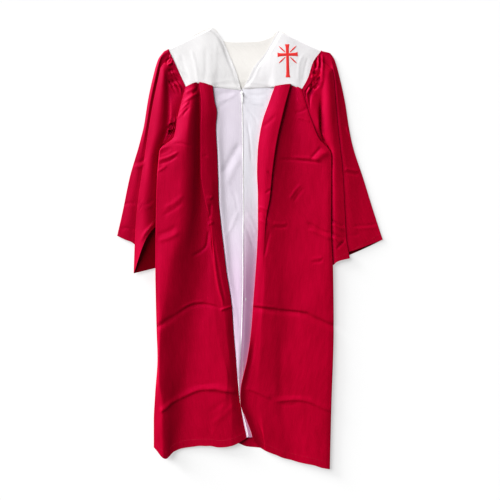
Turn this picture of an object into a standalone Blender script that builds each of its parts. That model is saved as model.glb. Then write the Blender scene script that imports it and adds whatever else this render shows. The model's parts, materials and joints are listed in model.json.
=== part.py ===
"""A zip-fronted confirmation robe, laid out flat with its front up.

A white V-necked yoke carries two white panels that meet at the zip, and two red fronts whose
inner edges are pleated over the white. The bell sleeves lie folded along the body, and their
inner halves pass under it. The red back panel lies on the table.

All sizes are in millimetres until a mesh is made. `side` is -1 for the half at -X, which the
wearer has on the right, and +1 for the other. `out` is the distance from the middle line
towards that side, `drop` the distance down from the top of the collar, and `z` the height
above the table. Each table holds one row for each place down the robe, and smooth curves run
through its columns.
"""

import math

import bpy
import numpy as np

MM = 0.001
CLOTH = 1.0  # thickness of each cloth wall
SEAM = 0.6  # gap in plan between two edges that are sewn together
TABLE_Z = CLOTH / 2  # middle of a wall that lies on the table
LEFT, RIGHT = -1, 1

# Where the whole robe's footprint has its middle, in the tables' own directions.
FOOTPRINT_OUT = 20.153
FOOTPRINT_DROP = 638.797

# ---------------------------------------------------------------- tables of the cut

# The pleated strip along the inner edge of each front: the fold that lies over the white,
# the fold on the strip's other side, and how far that second fold has opened (0 to 1).
PLEAT_COLUMNS = "drop inner inner_z strip strip_z opened"
PLEAT = {
    LEFT: (
        (165, 88.5, 7, 126, 9, 0),
        (210, 83, 8, 121, 12, 0),
        (246, 76, 8, 120, 14, 0),
        (290, 79, 8, 122, 15, 0),
        (372, 74.5, 8, 122, 15.5, 0),
        (430, 73, 8, 121, 16, 0),
        (499, 70.5, 8, 110, 16, 0),
        (563, 65, 8, 96, 15, 0.7),
        (640, 56, 9, 88, 13, 1),
        (701, 49, 9.5, 79, 12.5, 1),
        (808, 33, 11, 58, 13, 1),
        (880, 28, 11, 50, 14, 1),
        (956, 21, 11.5, 42, 14.5, 1),
        (1060, 12.5, 11.5, 36, 14.5, 1),
        (1105, 6, 8, 34, 14.5, 1),
        (1179, -9, 6, 34, 14.5, 1),
        (1215, -13, 5.6, 34, 13.5, 1),
    ),
    RIGHT: (
        (165, 94, 8, 138, 12, 0),
        (225, 72.5, 9, 122, 17, 0),
        (270, 57, 10, 111, 19, 0),
        (314, 48, 10, 101, 19, 0),
        (358, 43, 10, 93, 19, 0),
        (418, 41, 10, 85, 18, 0),
        (490, 43.5, 9, 78, 16.5, 0),
        (560, 43.5, 9, 67, 15, 0.7),
        (640, 41, 8.5, 62, 13, 1),
        (789, 30.5, 8.5, 52, 12, 1),
        (886, 23, 10, 43, 11.5, 1),
        (956, 13, 13, 36, 10.5, 1),
        (1062, -7.5, 15, 18, 9, 1),
        (1088, -7, 15, 20, 8.5, 1),
        (1126, 7, 14, 38, 7.5, 1),
        (1175, 25, 13, 60, 7, 1),
        (1205, 32, 12, 68, 7, 1),
    ),
}

# The broad flute beside the strip: a shoulder, the valley's foot and its far side, the crest,
# the fall towards the side, and the height of the rolled edge.
FLUTE_COLUMNS = ("drop shoulder shoulder_z foot foot_z valley valley_z crest crest_z fall fall_z"
                 " edge_z")
FLUTE = {
    LEFT: (
        (165, 126, 5, 128, 5, 131, 6, 142, 11, 155, 10, 8),
        (209, 123, 5, 125, 5, 128, 6, 143, 19, 158, 17, 11),
        (267, 122, 5, 124, 5, 127, 6, 149, 26, 168, 24, 16),
        (325, 122, 5, 124, 5, 127, 6, 154, 29, 178, 27, 19),
        (412, 122, 5, 124, 5, 127, 6, 156, 30, 208, 26, 22),
        (499, 112, 5, 116, 5, 127, 7, 160, 30, 212, 26, 23),
        (586, 98, 7, 106, 6, 132, 8, 170, 30, 218, 26, 23),
        (673, 92, 9, 106, 7, 138, 9, 192, 29, 230, 27.5, 23),
        (760, 86, 10.5, 112, 7.5, 146, 9, 208, 27, 236, 26.5, 22),
        (847, 82, 13.5, 130, 7.5, 164, 8.5, 230, 25, 241, 24, 20),
        (934, 64, 15, 140, 7, 174, 8, 237, 25, 243, 23.5, 20),
        (1021, 50, 17, 150, 7, 178, 8, 238, 26, 244, 24, 20),
        (1079, 58, 16, 154, 7, 186, 7.5, 228, 25, 241, 22, 18.5),
        (1150, 78, 13.5, 162, 7, 192, 7.5, 227, 24, 241, 21.5, 18),
        (1200, 100, 11, 168, 6.5, 196, 7, 225, 23, 241, 20, 16),
    ),
    RIGHT: (
        (165, 144, 5, 149, 6, 153, 6.5, 158, 8, 162, 8.5, 8),
        (238, 128, 8, 138, 6.5, 152, 5.5, 172, 8.5, 182, 10, 10),
        (325, 108, 11, 120, 8.5, 148, 5, 196, 10.5, 210, 12, 12),
        (412, 94, 11, 108, 9, 150, 5, 218, 10.5, 242, 13.5, 12.5),
        (499, 88, 11, 104, 9, 148, 5, 222, 10.5, 244, 13.5, 12.5),
        (586, 76, 12, 94, 10, 138, 6, 222, 11, 244, 13.5, 12.5),
        (673, 70, 13, 92, 11, 134, 6.5, 218, 11.5, 246, 14, 12.5),
        (760, 66, 14, 92, 12, 136, 6.5, 212, 12, 248, 13.5, 12),
        (847, 60, 13.5, 90, 11.5, 132, 7, 196, 12, 246, 13, 11.5),
        (934, 56, 12.5, 90, 10.5, 128, 7, 190, 11.5, 242, 13.5, 12),
        (1021, 50, 11, 94, 9.5, 128, 7, 188, 11.5, 240, 13.5, 12),
        (1108, 58, 10, 100, 9, 132, 7, 188, 11.5, 240, 13, 11.5),
        (1278, 76, 9, 110, 8.5, 138, 7, 188, 11, 238, 12, 10),
    ),
}

# The outer edge of the body: the armhole down to the underarm, then the rolled side.
SIDE_COLUMNS = "drop out"
SIDE = {
    LEFT: (
        (175, 167),
        (210, 176),
        (262, 189),
        (317, 199),
        (352, 238),
        (363, 242),
        (455, 248),
        (581, 251),
        (690, 252),
        (863, 249),
        (956, 246),
        (1060, 253),
        (1141, 257),
        (1215, 257),
    ),
    RIGHT: (
        (181, 171),
        (240, 188),
        (282, 203),
        (322, 220),
        (355, 250),
        (366, 255),
        (383, 256),
        (586, 255),
        (692, 260),
        (863, 262),
        (1108, 255),
        (1278, 251),
    ),
}

# How the side rolls under: the top and the bottom of the roll, and the side seam's height
# and its distance in from the edge. The sleeves' inner halves pass below the roll.
ROLL_COLUMNS = "drop top low seam_z turn"
ROLL = (
    (175, 8, 5, 3.6, 2),
    (230, 11, 8, 6.6, 2),
    (345, 12, 8.6, 7.2, 3),
    (362, 12, 8.8, 7.2, 14),
    (380, 12, 8.8, 7.2, 22),
    (430, 13, 8.8, 7.2, 33),
    (718, 13, 8.8, 7.2, 35),
    (790, 13, 5, TABLE_Z, 35),
    (1280, 12, 4, TABLE_Z, 35),
)
ROLL_DEPTH, ROLL_THINS = 5, (350, 440)  # most that the rolled edge is open below the underarm
ARM_LOWER = {LEFT: 0, RIGHT: 9}  # how much lower than in this table the underarm comes
SEAM_LAP = 1.4  # height of the front's edge over the back's edge at the side seam

# Where sections are taken down the front and back panels, as shares of their length. The
# second to the fifth follow the armhole, and the next two the roll below the arm.
BODY_ROWS = (0, 0.045, 0.088, 0.13, 0.16, 0.176, 0.21, 0.28, 0.39, 0.505, 0.58, 0.72, 0.885, 1)
ARMHOLE_ROWS = 5  # how many of them lie on the armhole
ARM_SHARE = 0.21
YOKE_DROP, HEM_DROP, BACK_DROP = 170, 1215, 1190  # drops whose widths set the panels' end lines
SEAM_HIDE = 18  # how far outside the inner fold the red is sewn to the white
TUCK_DEPTH = 15  # how far the strip's second fold goes in below it
WHITE_Z = 3.2  # height of the white panels' middle where they meet the red
UNDER_GAP = 0.4  # between the white and the red folded over it
STRIP_CROWN = {  # how much the strip is arched, at drops
    LEFT: ((0, 2.5), (500, 2.5), (563, 1), (1300, 1)),
    RIGHT: ((0, 3), (500, 3), (600, 1), (880, 0), (956, -3), (1300, -3)),
}
STRIP_BEND = 3.0  # width of the bend at the strip's outer edge where the second fold is open
SEAM_TURN = (0.5, 0.8, 0.88, 1)  # places under the roll, as shares of the way to the side seam

FRONT_TIGHT = (7, 8, 11, 12, 20, 21)  # guide points at the edges of sharp folds

# The back panel's two pleats.
BACK_PLEAT = 160  # fold edge, out from the middle
BACK_TUCK = 12
BACK_IN = 5  # how far its armhole edges lie inside the front's
BACK_LAP = 0.95  # how far under the front's roll its edge goes, as a share of the roll
UNDER_ARM = (344, 362)  # drops over which its edges rise to the rolled sides
UNDER_ARM_IN = 4  # how much further in its edges lie where they start to rise
BACK_RISE = (36, 20)  # how far in from its edge the rise starts and ends
PLEAT_LAYER = 2.0

# The line where the zip's two halves meet, and the height that it stands to.
ZIP_COLUMNS = "drop x z"
ZIP = (
    (180, -3, 3.2),
    (240, -2, 4),
    (400, 0, 5),
    (560, 1.5, 5),
    (700, 0, 5),
    (860, -3, 4),
    (956, -8, 3.4),
    (1030, -12, 3.2),
    (1075, -9.5, 3.2),
    (1110, -2, 3.2),
    (1150, 8, 3.2),
    (1190, 17, 3.2),
)

# The hems, as drop at each distance out, and the lines of the yoke's lower edge.
HEM = {
    LEFT: ((-14, 1188), (15, 1203), (35, 1210), (68, 1214), (100, 1210), (160, 1214),
           (199, 1226), (222, 1245), (257, 1214)),
    RIGHT: ((30, 1192), (55, 1219), (101, 1240), (147, 1254), (212, 1268), (251, 1278)),
}
YOKE_LINE = {
    LEFT: ((3, 181), (60, 176), (88, 171), (129, 161), (167, 175)),
    RIGHT: ((1, 178), (60, 175), (93, 172), (136, 167), (171, 181)),
}
BACK_HEM = ((-225, 1243), (-199, 1220), (-160, 1208), (-100, 1204), (-20, 1203), (10, 1213),
            (50, 1217), (101, 1232), (147, 1248), (216, 1268))
PANEL_TOP, PANEL_HEM = 180, 1186
YOKE_SEAM, BACK_YOKE_SEAM = 1.2, 1.8  # gaps in plan below the yokes
YOKE_HEM_Z = ((0, 4.4), (70, 4.6), (95, 7.4), (150, 8), (170, 7))  # height at distances out
YOKE_PUFF = 2.0
SHOULDER_ROLL = 2.0
SHOULDER_END_Z = TABLE_Z + CLOTH / 2 + 0.3  # end of the curl, on the back yoke

# Corners and edges of each front yoke, as (out, drop): shoulder, neck edge, armhole.
SHOULDER = {
    LEFT: ((88, 0), (189, 49), (206, 57), (220, 60)),
    RIGHT: ((101.5, 9), (146, 30), (196, 54), (228.5, 68)),
}
NECK_EDGE = {
    LEFT: ((88, 0), (67, 21), (41, 75), (15, 142), (5.5, 181)),
    RIGHT: ((101.5, 9), (63, 75), (31, 115), (14, 150), (-0.5, 178)),
}
YOKE_ARMHOLE = {
    LEFT: ((220, 60), (196, 112), (167, 175)),
    RIGHT: ((228.5, 68), (206, 100), (190, 149), (171, 181)),
}
# The back of the neck, as (x, drop), from the collar's -X corner to its +X corner.
BACK_NECK = ((-88, 0), (-67, 21), (-57, 38), (-22, 42), (40, 40), (82, 27), (101.5, 9))
BACK_YOKE_LINE = ((-167, 175), (-120, 184), (120, 184), (171, 181))

# The sleeves: the outer edge, the fold of the ridge that lies on the outer lobe, the hidden
# fold under it, the valley beside the ridge and the hidden inner fold, with their heights.
SLEEVE_COLUMNS = "drop outer ridge hidden valley inner lobe_z ridge_z crest_z front_z"
SLEEVE = {
    LEFT: (
        (60, 222, 221, 220, 218, 217, 5, 6, 8, 7),
        (93, 243, 229, 226, 212, 204, 7, 8, 13, 9),
        (145, 261, 241, 234, 214, 181, 8, 9, 17, 11),
        (210, 275, 258, 246, 213, 176, 8, 9, 19, 12),
        (285, 287, 274, 252, 214, 193, 8, 9, 19, 9),
        (318, 295, 279, 249, 228, 214, 8, 9, 17, 6),
        (352, 304, 283, 246, 244, 241, 8, 9, 15, 5.3),
        (378, 312, 288, 246, 249, 238, 8, 9, 15, 5.3),
        (430, 327, 296, 243, 252, 205, 10.5, 9, 17, 5.3),
        (540, 350, 309, 244, 256, 203, 11.5, 10, 18, 5.3),
        (620, 368, 313, 245, 257, 204, 11.5, 10, 20, 5.3),
        (712, 385, 315.5, 246, 257, 205, 11.5, 10, 22, 5.3),
    ),
    RIGHT: (
        (63, 236, 234, 230, 228, 227, 5, 6, 8, 7),
        (70, 248, 240, 235, 228, 224, 6, 7, 9, 7),
        (76, 254, 244, 238, 227, 220, 6, 7, 11, 8),
        (93, 265, 250, 243, 226, 212, 7, 8, 14, 9),
        (145, 280, 262, 252, 224, 191, 8, 9, 17, 11),
        (219.5, 296, 270, 256, 223, 182, 8, 9, 18, 12),
        (285, 306, 279, 262, 224, 206, 8, 9, 18, 9),
        (322, 314, 281, 262, 240, 230, 8, 9, 16, 6),
        (358, 322, 282, 262, 258, 254, 8, 9, 14, 5.3),
        (392, 333, 283, 257, 262, 253.5, 8, 9, 14, 5.3),
        (430, 346, 286, 252, 262, 212, 10, 9, 14, 5.3),
        (520, 374, 292, 250, 263, 209, 10.5, 9, 13, 5.3),
        (609, 403, 298, 250, 264, 212, 10.5, 9, 12.5, 5.3),
        (669, 424, 311, 252, 265, 213, 10.5, 9, 12.5, 5.3),
        (700, 434, 316, 252, 265, 214, 10.5, 9, 12.5, 5.3),
    ),
}
# The drops at which the sleeve's folds start on the armhole, and end at the cuff. Below the
# one for "front", the flat parts between the folds start where the body has its sections.
SLEEVE_START = {
    LEFT: {"outer": 61, "lobe": 64, "foot": 66, "hidden": 68, "ridge": 73, "crest": 86,
           "valley": 112, "front": 130},
    RIGHT: {"outer": 69, "lobe": 72, "foot": 74, "hidden": 76, "ridge": 81, "crest": 94,
            "valley": 118, "front": 136},
}
CUFF = {
    LEFT: {"outer": 603, "lobe": 616, "foot": 640, "hidden": 696, "ridge": 711, "crest": 664,
           "valley": 592, "inner": 566},
    RIGHT: {"outer": 614, "lobe": 632, "foot": 650, "hidden": 656, "ridge": 668, "crest": 676,
            "valley": 688, "inner": 696},
}
LAYER_Z = (TABLE_Z, 2.1, 3.7, 5.3)  # the sleeve's stacked layers
LOBE_FOOT_Z = 4.4  # where the outer lobe dips under the ridge
FOOT_BELOW = 3.6  # least depth of that dip below the ridge's upper side
OUTER_FOLD = 3.5  # height of the fold at the sleeve's outer edge
RIDGE_FOLD = 2.2  # height of the ridge's fold
CREST_SHARE = 0.38  # where the ridge's crest lies between its fold and the valley
VALLEY_Z = 5.5
FLAT_SHARES = (0.2, 0.4, 0.6, 0.8)  # guide points across the sleeve's flat parts
TUCK_UNDER = (330, 400)  # drops over which the sleeve's inner half goes under the body
ARMHOLE_Z = ((60, 4), (110, 6), (175, 6.5), (250, 8), (312, 5.3), (345, 5.3))
YOKE_STATION = 32  # height over the yoke's corner of the sleeve's last section on the yoke
ARMHOLE_GAP = 1.9  # from the middle of the body's rolled edge to the sleeve's
SLEEVE_ROWS = (0, 0.05, 0.11, 0.18, 0.26, 0.37, 0.5, 0.64, 0.78, 0.9, 1)
GATHER_STEP = 1.2  # spacing of a fold's guide points along the armhole
ARMPIT_LAG = (6, 2.4)  # how far below the armhole's last section the sleeve's inner fold starts
SEAM_SLIDE = (100, 165)  # drops over which the cloth goes from straight down to along the seam
# The shares of the sleeve's length over which its parts leave the armhole.
HEAD_SHARE = {"outer": 0.05, "lobe": 0.08, "foot": 0.1, "hidden": 0.1, "ridge": 0.1,
              "crest": 0.12, "valley": 0.15, "front": 0.22, "inner": 0.22, "back": 0.12}

# The zip: its tape behind the panels, and the slider with its pull tab.
ZIP_GAP = 3.0
TAPE_WIDTH, TAPE_THICK = 20, 0.8
TAPE_TOP, TAPE_END = 183, 1184
TAPE_BELOW = 0.7  # gap under the panels
SLIDER_DROP = 191
SLIDER_SIZE = (6.4, 12, 1.4)
SLIDER_GAP = 0.5  # between the slider's plate and the cloth
BRIDGE_WIDTH, BRIDGE_WIRE, BRIDGE_HOLE = 1.6, 0.9, (3.2, 3.0)
BRIDGE_CORNER, HOLE_CORNER = 1.0, 0.8
BRIDGE_SINK = 0.4  # how far its feet go into the plate
TAB_SIZE = (5.6, 27, 0.8)
TAB_CORNER, WINDOW_CORNER = 1.5, 0.4
TAB_BAR = 0.6  # half the width of the bar that goes through the bridge
TAB_INNER = 2.4
TAB_WINDOW = 4.4
TAB_REST_TILT = math.radians(4)

WHITE = (0.93, 0.92, 0.93)
OFF_WHITE = (0.88, 0.87, 0.84)
RED = (0.52, 0.0, 0.03)
ENAMEL = (0.9, 0.9, 0.9)


# ---------------------------------------------------------------- curves and walls


def smooth(xs, ys, x):
    """A curve through the points that never swings past them, held level beyond its ends."""
    xs, ys = np.asarray(xs, float), np.asarray(ys, float)
    step = np.diff(xs)
    slope = np.diff(ys) / step
    tangent = np.zeros(len(xs))
    tangent[0], tangent[-1] = slope[0], slope[-1]
    same_way = slope[:-1] * slope[1:] > 0
    mean = 2 * slope[:-1] * slope[1:] / np.where(same_way, slope[:-1] + slope[1:], 1)
    tangent[1:-1] = np.where(same_way, mean, 0)
    x = np.clip(x, xs[0], xs[-1])
    i = np.clip(np.searchsorted(xs, x, side="right") - 1, 0, len(step) - 1)
    t = (x - xs[i]) / step[i]
    held = (1 + 2 * t) * (1 - t) ** 2 * ys[i] + t**2 * (3 - 2 * t) * ys[i + 1]
    return held + step[i] * (t * (1 - t) ** 2 * tangent[i] - t**2 * (1 - t) * tangent[i + 1])


def columns(names, table, drop):
    """Each named column of a table, read at the drops asked for."""
    rows = np.array(table, float)
    return {name: smooth(rows[:, 0], rows[:, i], drop) for i, name in enumerate(names.split())}


def line(points, at):
    """The second coordinate of a line of points, read at values of the first."""
    xs, ys = zip(*points)
    return smooth(xs, ys, at)


def along(points, share):
    """Points at shares of the length of a smooth curve through the points given."""
    points = np.array(points, float)
    reach = np.concatenate([[0], np.cumsum(np.linalg.norm(np.diff(points, axis=0), axis=1))])
    return np.stack([smooth(reach / reach[-1], points[:, i], share) for i in (0, 1)], axis=-1)


def ease(start, end, value):
    """Rises smoothly from 0 at start to 1 at end."""
    t = np.clip((value - start) / (end - start), 0, 1)
    return t * t * (3 - 2 * t)


def hairpin(edge, z_in, z_out, reach):
    """Four guide points of a fold whose edge is at `edge`, the cloth coming in at z_in."""
    return [(edge + reach, z_in), (edge, z_in), (edge, z_out), (edge + reach, z_out)]


def spline_weights(count, tight, closed=False):
    """One row of weights per sample of a quadratic B-spline over `count` guide points.

    A span whose middle guide point is in `tight` is sampled twice, and the others once.
    """
    order = list(range(count)) if closed else [0] + list(range(count)) + [count - 1]
    spans = len(order) if closed else len(order) - 2
    samples = []
    for span in range(spans):
        trio = [order[(span + i) % len(order)] for i in range(3)]
        for t in (0, 0.5) if trio[1] in tight else (0,):
            row = np.zeros(count)
            for guide, weight in zip(trio, ((1 - t) ** 2 / 2, 0.5 + t - t * t, t * t / 2)):
                row[guide] += weight
            samples.append(row)
    if not closed:
        samples.append(np.eye(count)[-1])
    return np.array(samples)


def place(x, drop, z):
    """World points in metres from places on the robe in millimetres."""
    point = np.stack(np.broadcast_arrays(x - FOOTPRINT_OUT, FOOTPRINT_DROP - drop, z), axis=-1)
    return point * MM


def material(name, colour, roughness=0.7, metallic=0.0):
    found = bpy.data.materials.get(name)
    if found:
        return found
    made = bpy.data.materials.new(name)
    made.use_nodes = True
    shader = made.node_tree.nodes["Principled BSDF"]
    shader.inputs["Base Color"].default_value = (*colour, 1)
    shader.inputs["Roughness"].default_value = roughness
    shader.inputs["Metallic"].default_value = metallic
    made.diffuse_color = (*colour, 1)
    return made


def add_object(name, points, faces, finish):
    mesh = bpy.data.meshes.new(name)
    mesh.from_pydata([tuple(point) for point in points], [], faces)
    mesh.materials.append(finish)
    made = bpy.data.objects.new(name, mesh)
    bpy.context.scene.collection.objects.link(made)
    mesh.shade_smooth()
    mesh.set_sharp_from_angle(angle=math.radians(50))
    return made


def wall(name, middle, finish, thick=CLOTH, closed=False):
    """A cloth wall of even thickness whose middle runs through a grid of points.

    Both faces are cut along the same diagonals, so that they can't cross where a quad twists.
    """
    grid = np.asarray(middle)
    across = np.roll(grid, -1, 1) - np.roll(grid, 1, 1) if closed else np.gradient(grid, axis=1)
    normal = np.cross(across, np.gradient(grid, axis=0))
    normal /= np.linalg.norm(normal, axis=-1, keepdims=True)
    rows, cols = grid.shape[:2]
    half = thick / 2 * MM
    points = np.concatenate([(grid + normal * half).reshape(-1, 3),
                             (grid - normal * half).reshape(-1, 3)])

    def at(face, row, col):
        return face * rows * cols + row * cols + col % cols

    spans = cols if closed else cols - 1
    faces = []
    for row in range(rows - 1):
        for col in range(spans):
            first, across_from = (row, col), (row + 1, col + 1)
            for trio in ((first, (row, col + 1), across_from), (first, across_from, (row + 1, col))):
                faces.append([at(0, *corner) for corner in trio])
                faces.append([at(1, *corner) for corner in reversed(trio)])
    for col in range(spans):
        for row, way in ((0, 1), (rows - 1, -1)):
            rim = [at(1, row, col), at(1, row, col + 1), at(0, row, col + 1), at(0, row, col)]
            faces.append(rim[::way])
    if not closed:
        for row in range(rows - 1):
            for col, way in ((0, -1), (cols - 1, 1)):
                rim = [at(1, row, col), at(1, row + 1, col), at(0, row + 1, col), at(0, row, col)]
                faces.append(rim[::way])
    made = add_object(name, points, faces, finish)
    if signed_volume(made.data) < 0:
        made.data.flip_normals()
    return made


def signed_volume(mesh):
    total = 0.0
    for polygon in mesh.polygons:
        first, *rest = [mesh.vertices[i].co for i in polygon.vertices]
        for second, third in zip(rest, rest[1:]):
            total += first.dot(second.cross(third))
    return total


# ---------------------------------------------------------------- the body


def front_guides(side, drop):
    """Guide points of a front's section at each drop, from the white seam out to the side."""
    pleat = columns(PLEAT_COLUMNS, PLEAT[side], drop)
    flute = columns(FLUTE_COLUMNS, FLUTE[side], drop)
    roll = columns(ROLL_COLUMNS, ROLL, drop - ARM_LOWER[side])
    edge = columns(SIDE_COLUMNS, SIDE[side], drop)["out"]
    under = WHITE_Z + CLOTH + UNDER_GAP
    inner, strip = pleat["inner"], pleat["strip"]
    top, opened = pleat["strip_z"], pleat["opened"]
    crown = line(STRIP_CROWN[side], drop)
    guides = [(inner + SEAM_HIDE, under + 0 * drop)]
    guides += hairpin(inner, under, pleat["inner_z"], (pleat["inner_z"] - under) / 2)
    guides.append(((inner + strip) / 2, (pleat["inner_z"] + top) / 2 + crown))
    # The second fold is a Z of three layers, which opens into a plain slope further down.
    low = flute["shoulder_z"]
    middle = (top + low) / 2
    reach = (top - low) / 4
    tuck = np.minimum(TUCK_DEPTH, (strip - inner) / 2)
    folded = hairpin(strip, top, middle, -reach) + hairpin(strip - tuck, middle, low, reach)
    for i, (out, z) in enumerate(folded):
        share = i / (len(folded) - 1)
        open_out = strip - STRIP_BEND + share * (flute["shoulder"] - strip - STRIP_BEND)
        open_z = top + share * (flute["shoulder_z"] - top)
        guides.append((out + opened * (open_out - out), z + opened * (open_z - z)))
    guides.append((flute["shoulder"], low))
    guides.append((flute["foot"], flute["foot_z"]))
    guides.append((flute["valley"], flute["valley_z"]))
    guides.append((flute["crest"], flute["crest_z"]))
    guides.append((flute["fall"], flute["fall_z"]))
    depth = ROLL_DEPTH + 20 * (1 - ease(*ROLL_THINS, drop))
    low = np.clip(roll["low"], flute["edge_z"] - depth, flute["edge_z"] - 2.4)
    reach = np.minimum((flute["edge_z"] - low) / 2, roll["turn"] / 2)
    guides += hairpin(edge, flute["edge_z"], low, -reach)
    flat = roll["seam_z"] + SEAM_LAP * np.array([[0], [0], [1], [1]])
    guides += [(edge - share * roll["turn"], z) for share, z in zip(SEAM_TURN, flat)]
    return guides


def section_grid(guides_at, weights, top, hem, seam_end):
    """Points (rows, samples) of out, drop and z of a sheet lofted down its guide lines.

    Down to ARM_SHARE the sections are level, and below it they spread to follow the hem.
    """
    grid = []
    for share in BODY_ROWS:
        spread = max(share - ARM_SHARE, 0) / (1 - ARM_SHARE)
        drop = top + (seam_end - top) * share + (hem - seam_end) * spread
        guides = guides_at(drop)
        out = sum(weights[:, k] * guide[0] for k, guide in enumerate(guides))
        z = sum(weights[:, k] * guide[1] for k, guide in enumerate(guides))
        grid.append(np.stack([out, drop, z], axis=-1))
    return np.array(grid)


def front(side, name):
    count = len(front_guides(side, np.array([400.0])))
    weights = spline_weights(count, FRONT_TIGHT)

    def out_at(drop):
        guides = front_guides(side, np.full(len(weights), float(drop)))
        return sum(weights[:, k] * guide[0] for k, guide in enumerate(guides))

    top = line(YOKE_LINE[side], out_at(YOKE_DROP)) + YOKE_SEAM
    hem = line(HEM[side], out_at(HEM_DROP))
    grid = section_grid(lambda drop: front_guides(side, drop), weights, top, hem, seam_end(side))
    return wall(name, place(side * grid[..., 0], grid[..., 1], grid[..., 2]),
                material("red polyester", RED))


def white_panel(side, name):
    """From the zip out to the hidden seam below the front's inner fold."""
    shares = np.linspace(0, 1, 5)
    grid = []
    for down in np.linspace(0, 1, 13):
        drop = PANEL_TOP + down * (PANEL_HEM - PANEL_TOP)
        zip_at = columns(ZIP_COLUMNS, ZIP, drop)
        start = side * zip_at["x"] + ZIP_GAP / 2
        end = columns(PLEAT_COLUMNS, PLEAT[side], drop)["inner"] + SEAM_HIDE
        out = start + (end - start) * shares
        z = zip_at["z"] + (WHITE_Z - zip_at["z"]) * ease(0, 0.7, shares)
        drops = line(YOKE_LINE[side], out) + SEAM
        drops = drops + (PANEL_HEM - drops) * down
        grid.append(place(side * out, drops, z))
    return wall(name, grid, material("white polyester", WHITE))


def back_guides(drop):
    """Guide points of the back panel's section, from its -X edge to its +X edge."""
    halves = {}
    for side in (LEFT, RIGHT):
        roll = columns(ROLL_COLUMNS, ROLL, drop - ARM_LOWER[side])
        below = ease(*UNDER_ARM, drop - ARM_LOWER[side])
        edge_z = TABLE_Z + below * (roll["seam_z"] - TABLE_Z)
        edge = columns(SIDE_COLUMNS, SIDE[side], drop)["out"]
        lap = BACK_LAP * roll["turn"] - BACK_IN + UNDER_ARM_IN * (1 - below)
        edge = edge - BACK_IN - below * lap
        fold, tuck = BACK_PLEAT, BACK_PLEAT - BACK_TUCK
        low, mid, high = TABLE_Z, TABLE_Z + PLEAT_LAYER, TABLE_Z + 2 * PLEAT_LAYER
        guides = [(0.5 * fold, low)]
        guides += hairpin(fold, low, mid, -PLEAT_LAYER / 2)
        guides += hairpin(tuck, mid, high, PLEAT_LAYER / 2)
        guides += [(fold + 1.5, high), (fold + 8, low)]
        rise = np.maximum(edge - BACK_RISE[0], fold + 12)
        risen = rise + BACK_RISE[0] - BACK_RISE[1]
        guides += [(np.minimum(rise, edge - 2), low), (np.minimum(risen, edge - 1), edge_z),
                   (edge, edge_z)]
        halves[side] = [(side * (out + 0 * drop), z + 0 * drop) for out, z in guides]
    return halves[LEFT][::-1] + halves[RIGHT]


def back_panel():
    count = len(back_guides(np.array([400.0])))
    weights = spline_weights(count, ())
    guides = back_guides(np.full(len(weights), float(BACK_DROP)))
    x = sum(weights[:, k] * guide[0] for k, guide in enumerate(guides))
    top = line(BACK_YOKE_LINE, x) + BACK_YOKE_SEAM
    ends = np.where(x < 0, seam_end(LEFT), seam_end(RIGHT))
    grid = section_grid(back_guides, weights, top, line(BACK_HEM, x), ends)
    return wall("back_panel", place(grid[..., 0], grid[..., 1], grid[..., 2]),
                material("red polyester", RED))


# ---------------------------------------------------------------- the yoke


def coons(top, bottom, start, end, u, v):
    """A patch between four edge curves, each given as a function of its share."""
    u, v = np.meshgrid(u, v)
    flat = ((1 - v)[..., None] * top(u) + v[..., None] * bottom(u)
            + (1 - u)[..., None] * start(v) + u[..., None] * end(v))
    corners = ((1 - u) * (1 - v))[..., None] * top(0 * u) + (u * (1 - v))[..., None] * top(0 * u + 1)
    corners += ((1 - u) * v)[..., None] * bottom(0 * u) + (u * v)[..., None] * bottom(0 * u + 1)
    return flat - corners, u, v


def yoke_front(side, name):
    """The front yoke, which curls down over the back yoke's edge along the shoulder."""
    u, v = np.linspace(0, 1, 10), np.linspace(0, 1, 7)
    bottom = np.array(YOKE_LINE[side], float)
    bottom[0, 0] = NECK_EDGE[side][-1][0]
    bottom[-1] = YOKE_ARMHOLE[side][-1]
    plan, u, v = coons(lambda s: along(SHOULDER[side], s), lambda s: along(bottom, s),
                       lambda s: along(NECK_EDGE[side], s),
                       lambda s: armhole_points(side, s), u, v)
    roll_top = SHOULDER_END_Z + SHOULDER_ROLL
    z = roll_top + YOKE_PUFF * np.sin(math.pi * u) * np.sin(math.pi * v)
    z += v**2 * (line(YOKE_HEM_Z, plan[..., 0]) - roll_top)
    inward = plan[1] - plan[0]
    inward /= np.linalg.norm(inward, axis=-1, keepdims=True)
    curl = []
    for turn in (math.radians(90), math.radians(45)):
        inset = SHOULDER_ROLL * (1 - math.sin(turn))
        fall = SHOULDER_ROLL * (1 - math.cos(turn))
        curl.append(np.column_stack([plan[0] + inward * inset, z[0] - fall]))
    plan[0] += inward * SHOULDER_ROLL
    grid = np.concatenate([np.array(curl), np.dstack([plan, z])])
    return wall(name, place(side * grid[..., 0], grid[..., 1], grid[..., 2]),
                material("white polyester", WHITE))


def yoke_back():
    """The back yoke, flat on the table, with the neck cut into its upper edge."""
    neck = np.array(BACK_NECK, float)
    left = [(-out, drop) for out, drop in SHOULDER[LEFT][::-1]]
    upper = left[:-1] + [tuple(point) for point in neck] + list(SHOULDER[RIGHT][1:])
    shares = np.linspace(0, 1, 19)
    plan, _, _ = coons(lambda s: along(upper, s), lambda s: along(BACK_YOKE_LINE, s),
                       lambda s: armhole_points(LEFT, s) * (-1, 1),
                       lambda s: armhole_points(RIGHT, s), shares, np.linspace(0, 1, 4))
    return wall("yoke_back", place(plan[..., 0], plan[..., 1], TABLE_Z),
                material("off-white polyester", OFF_WHITE))


# ---------------------------------------------------------------- the sleeves


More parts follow.
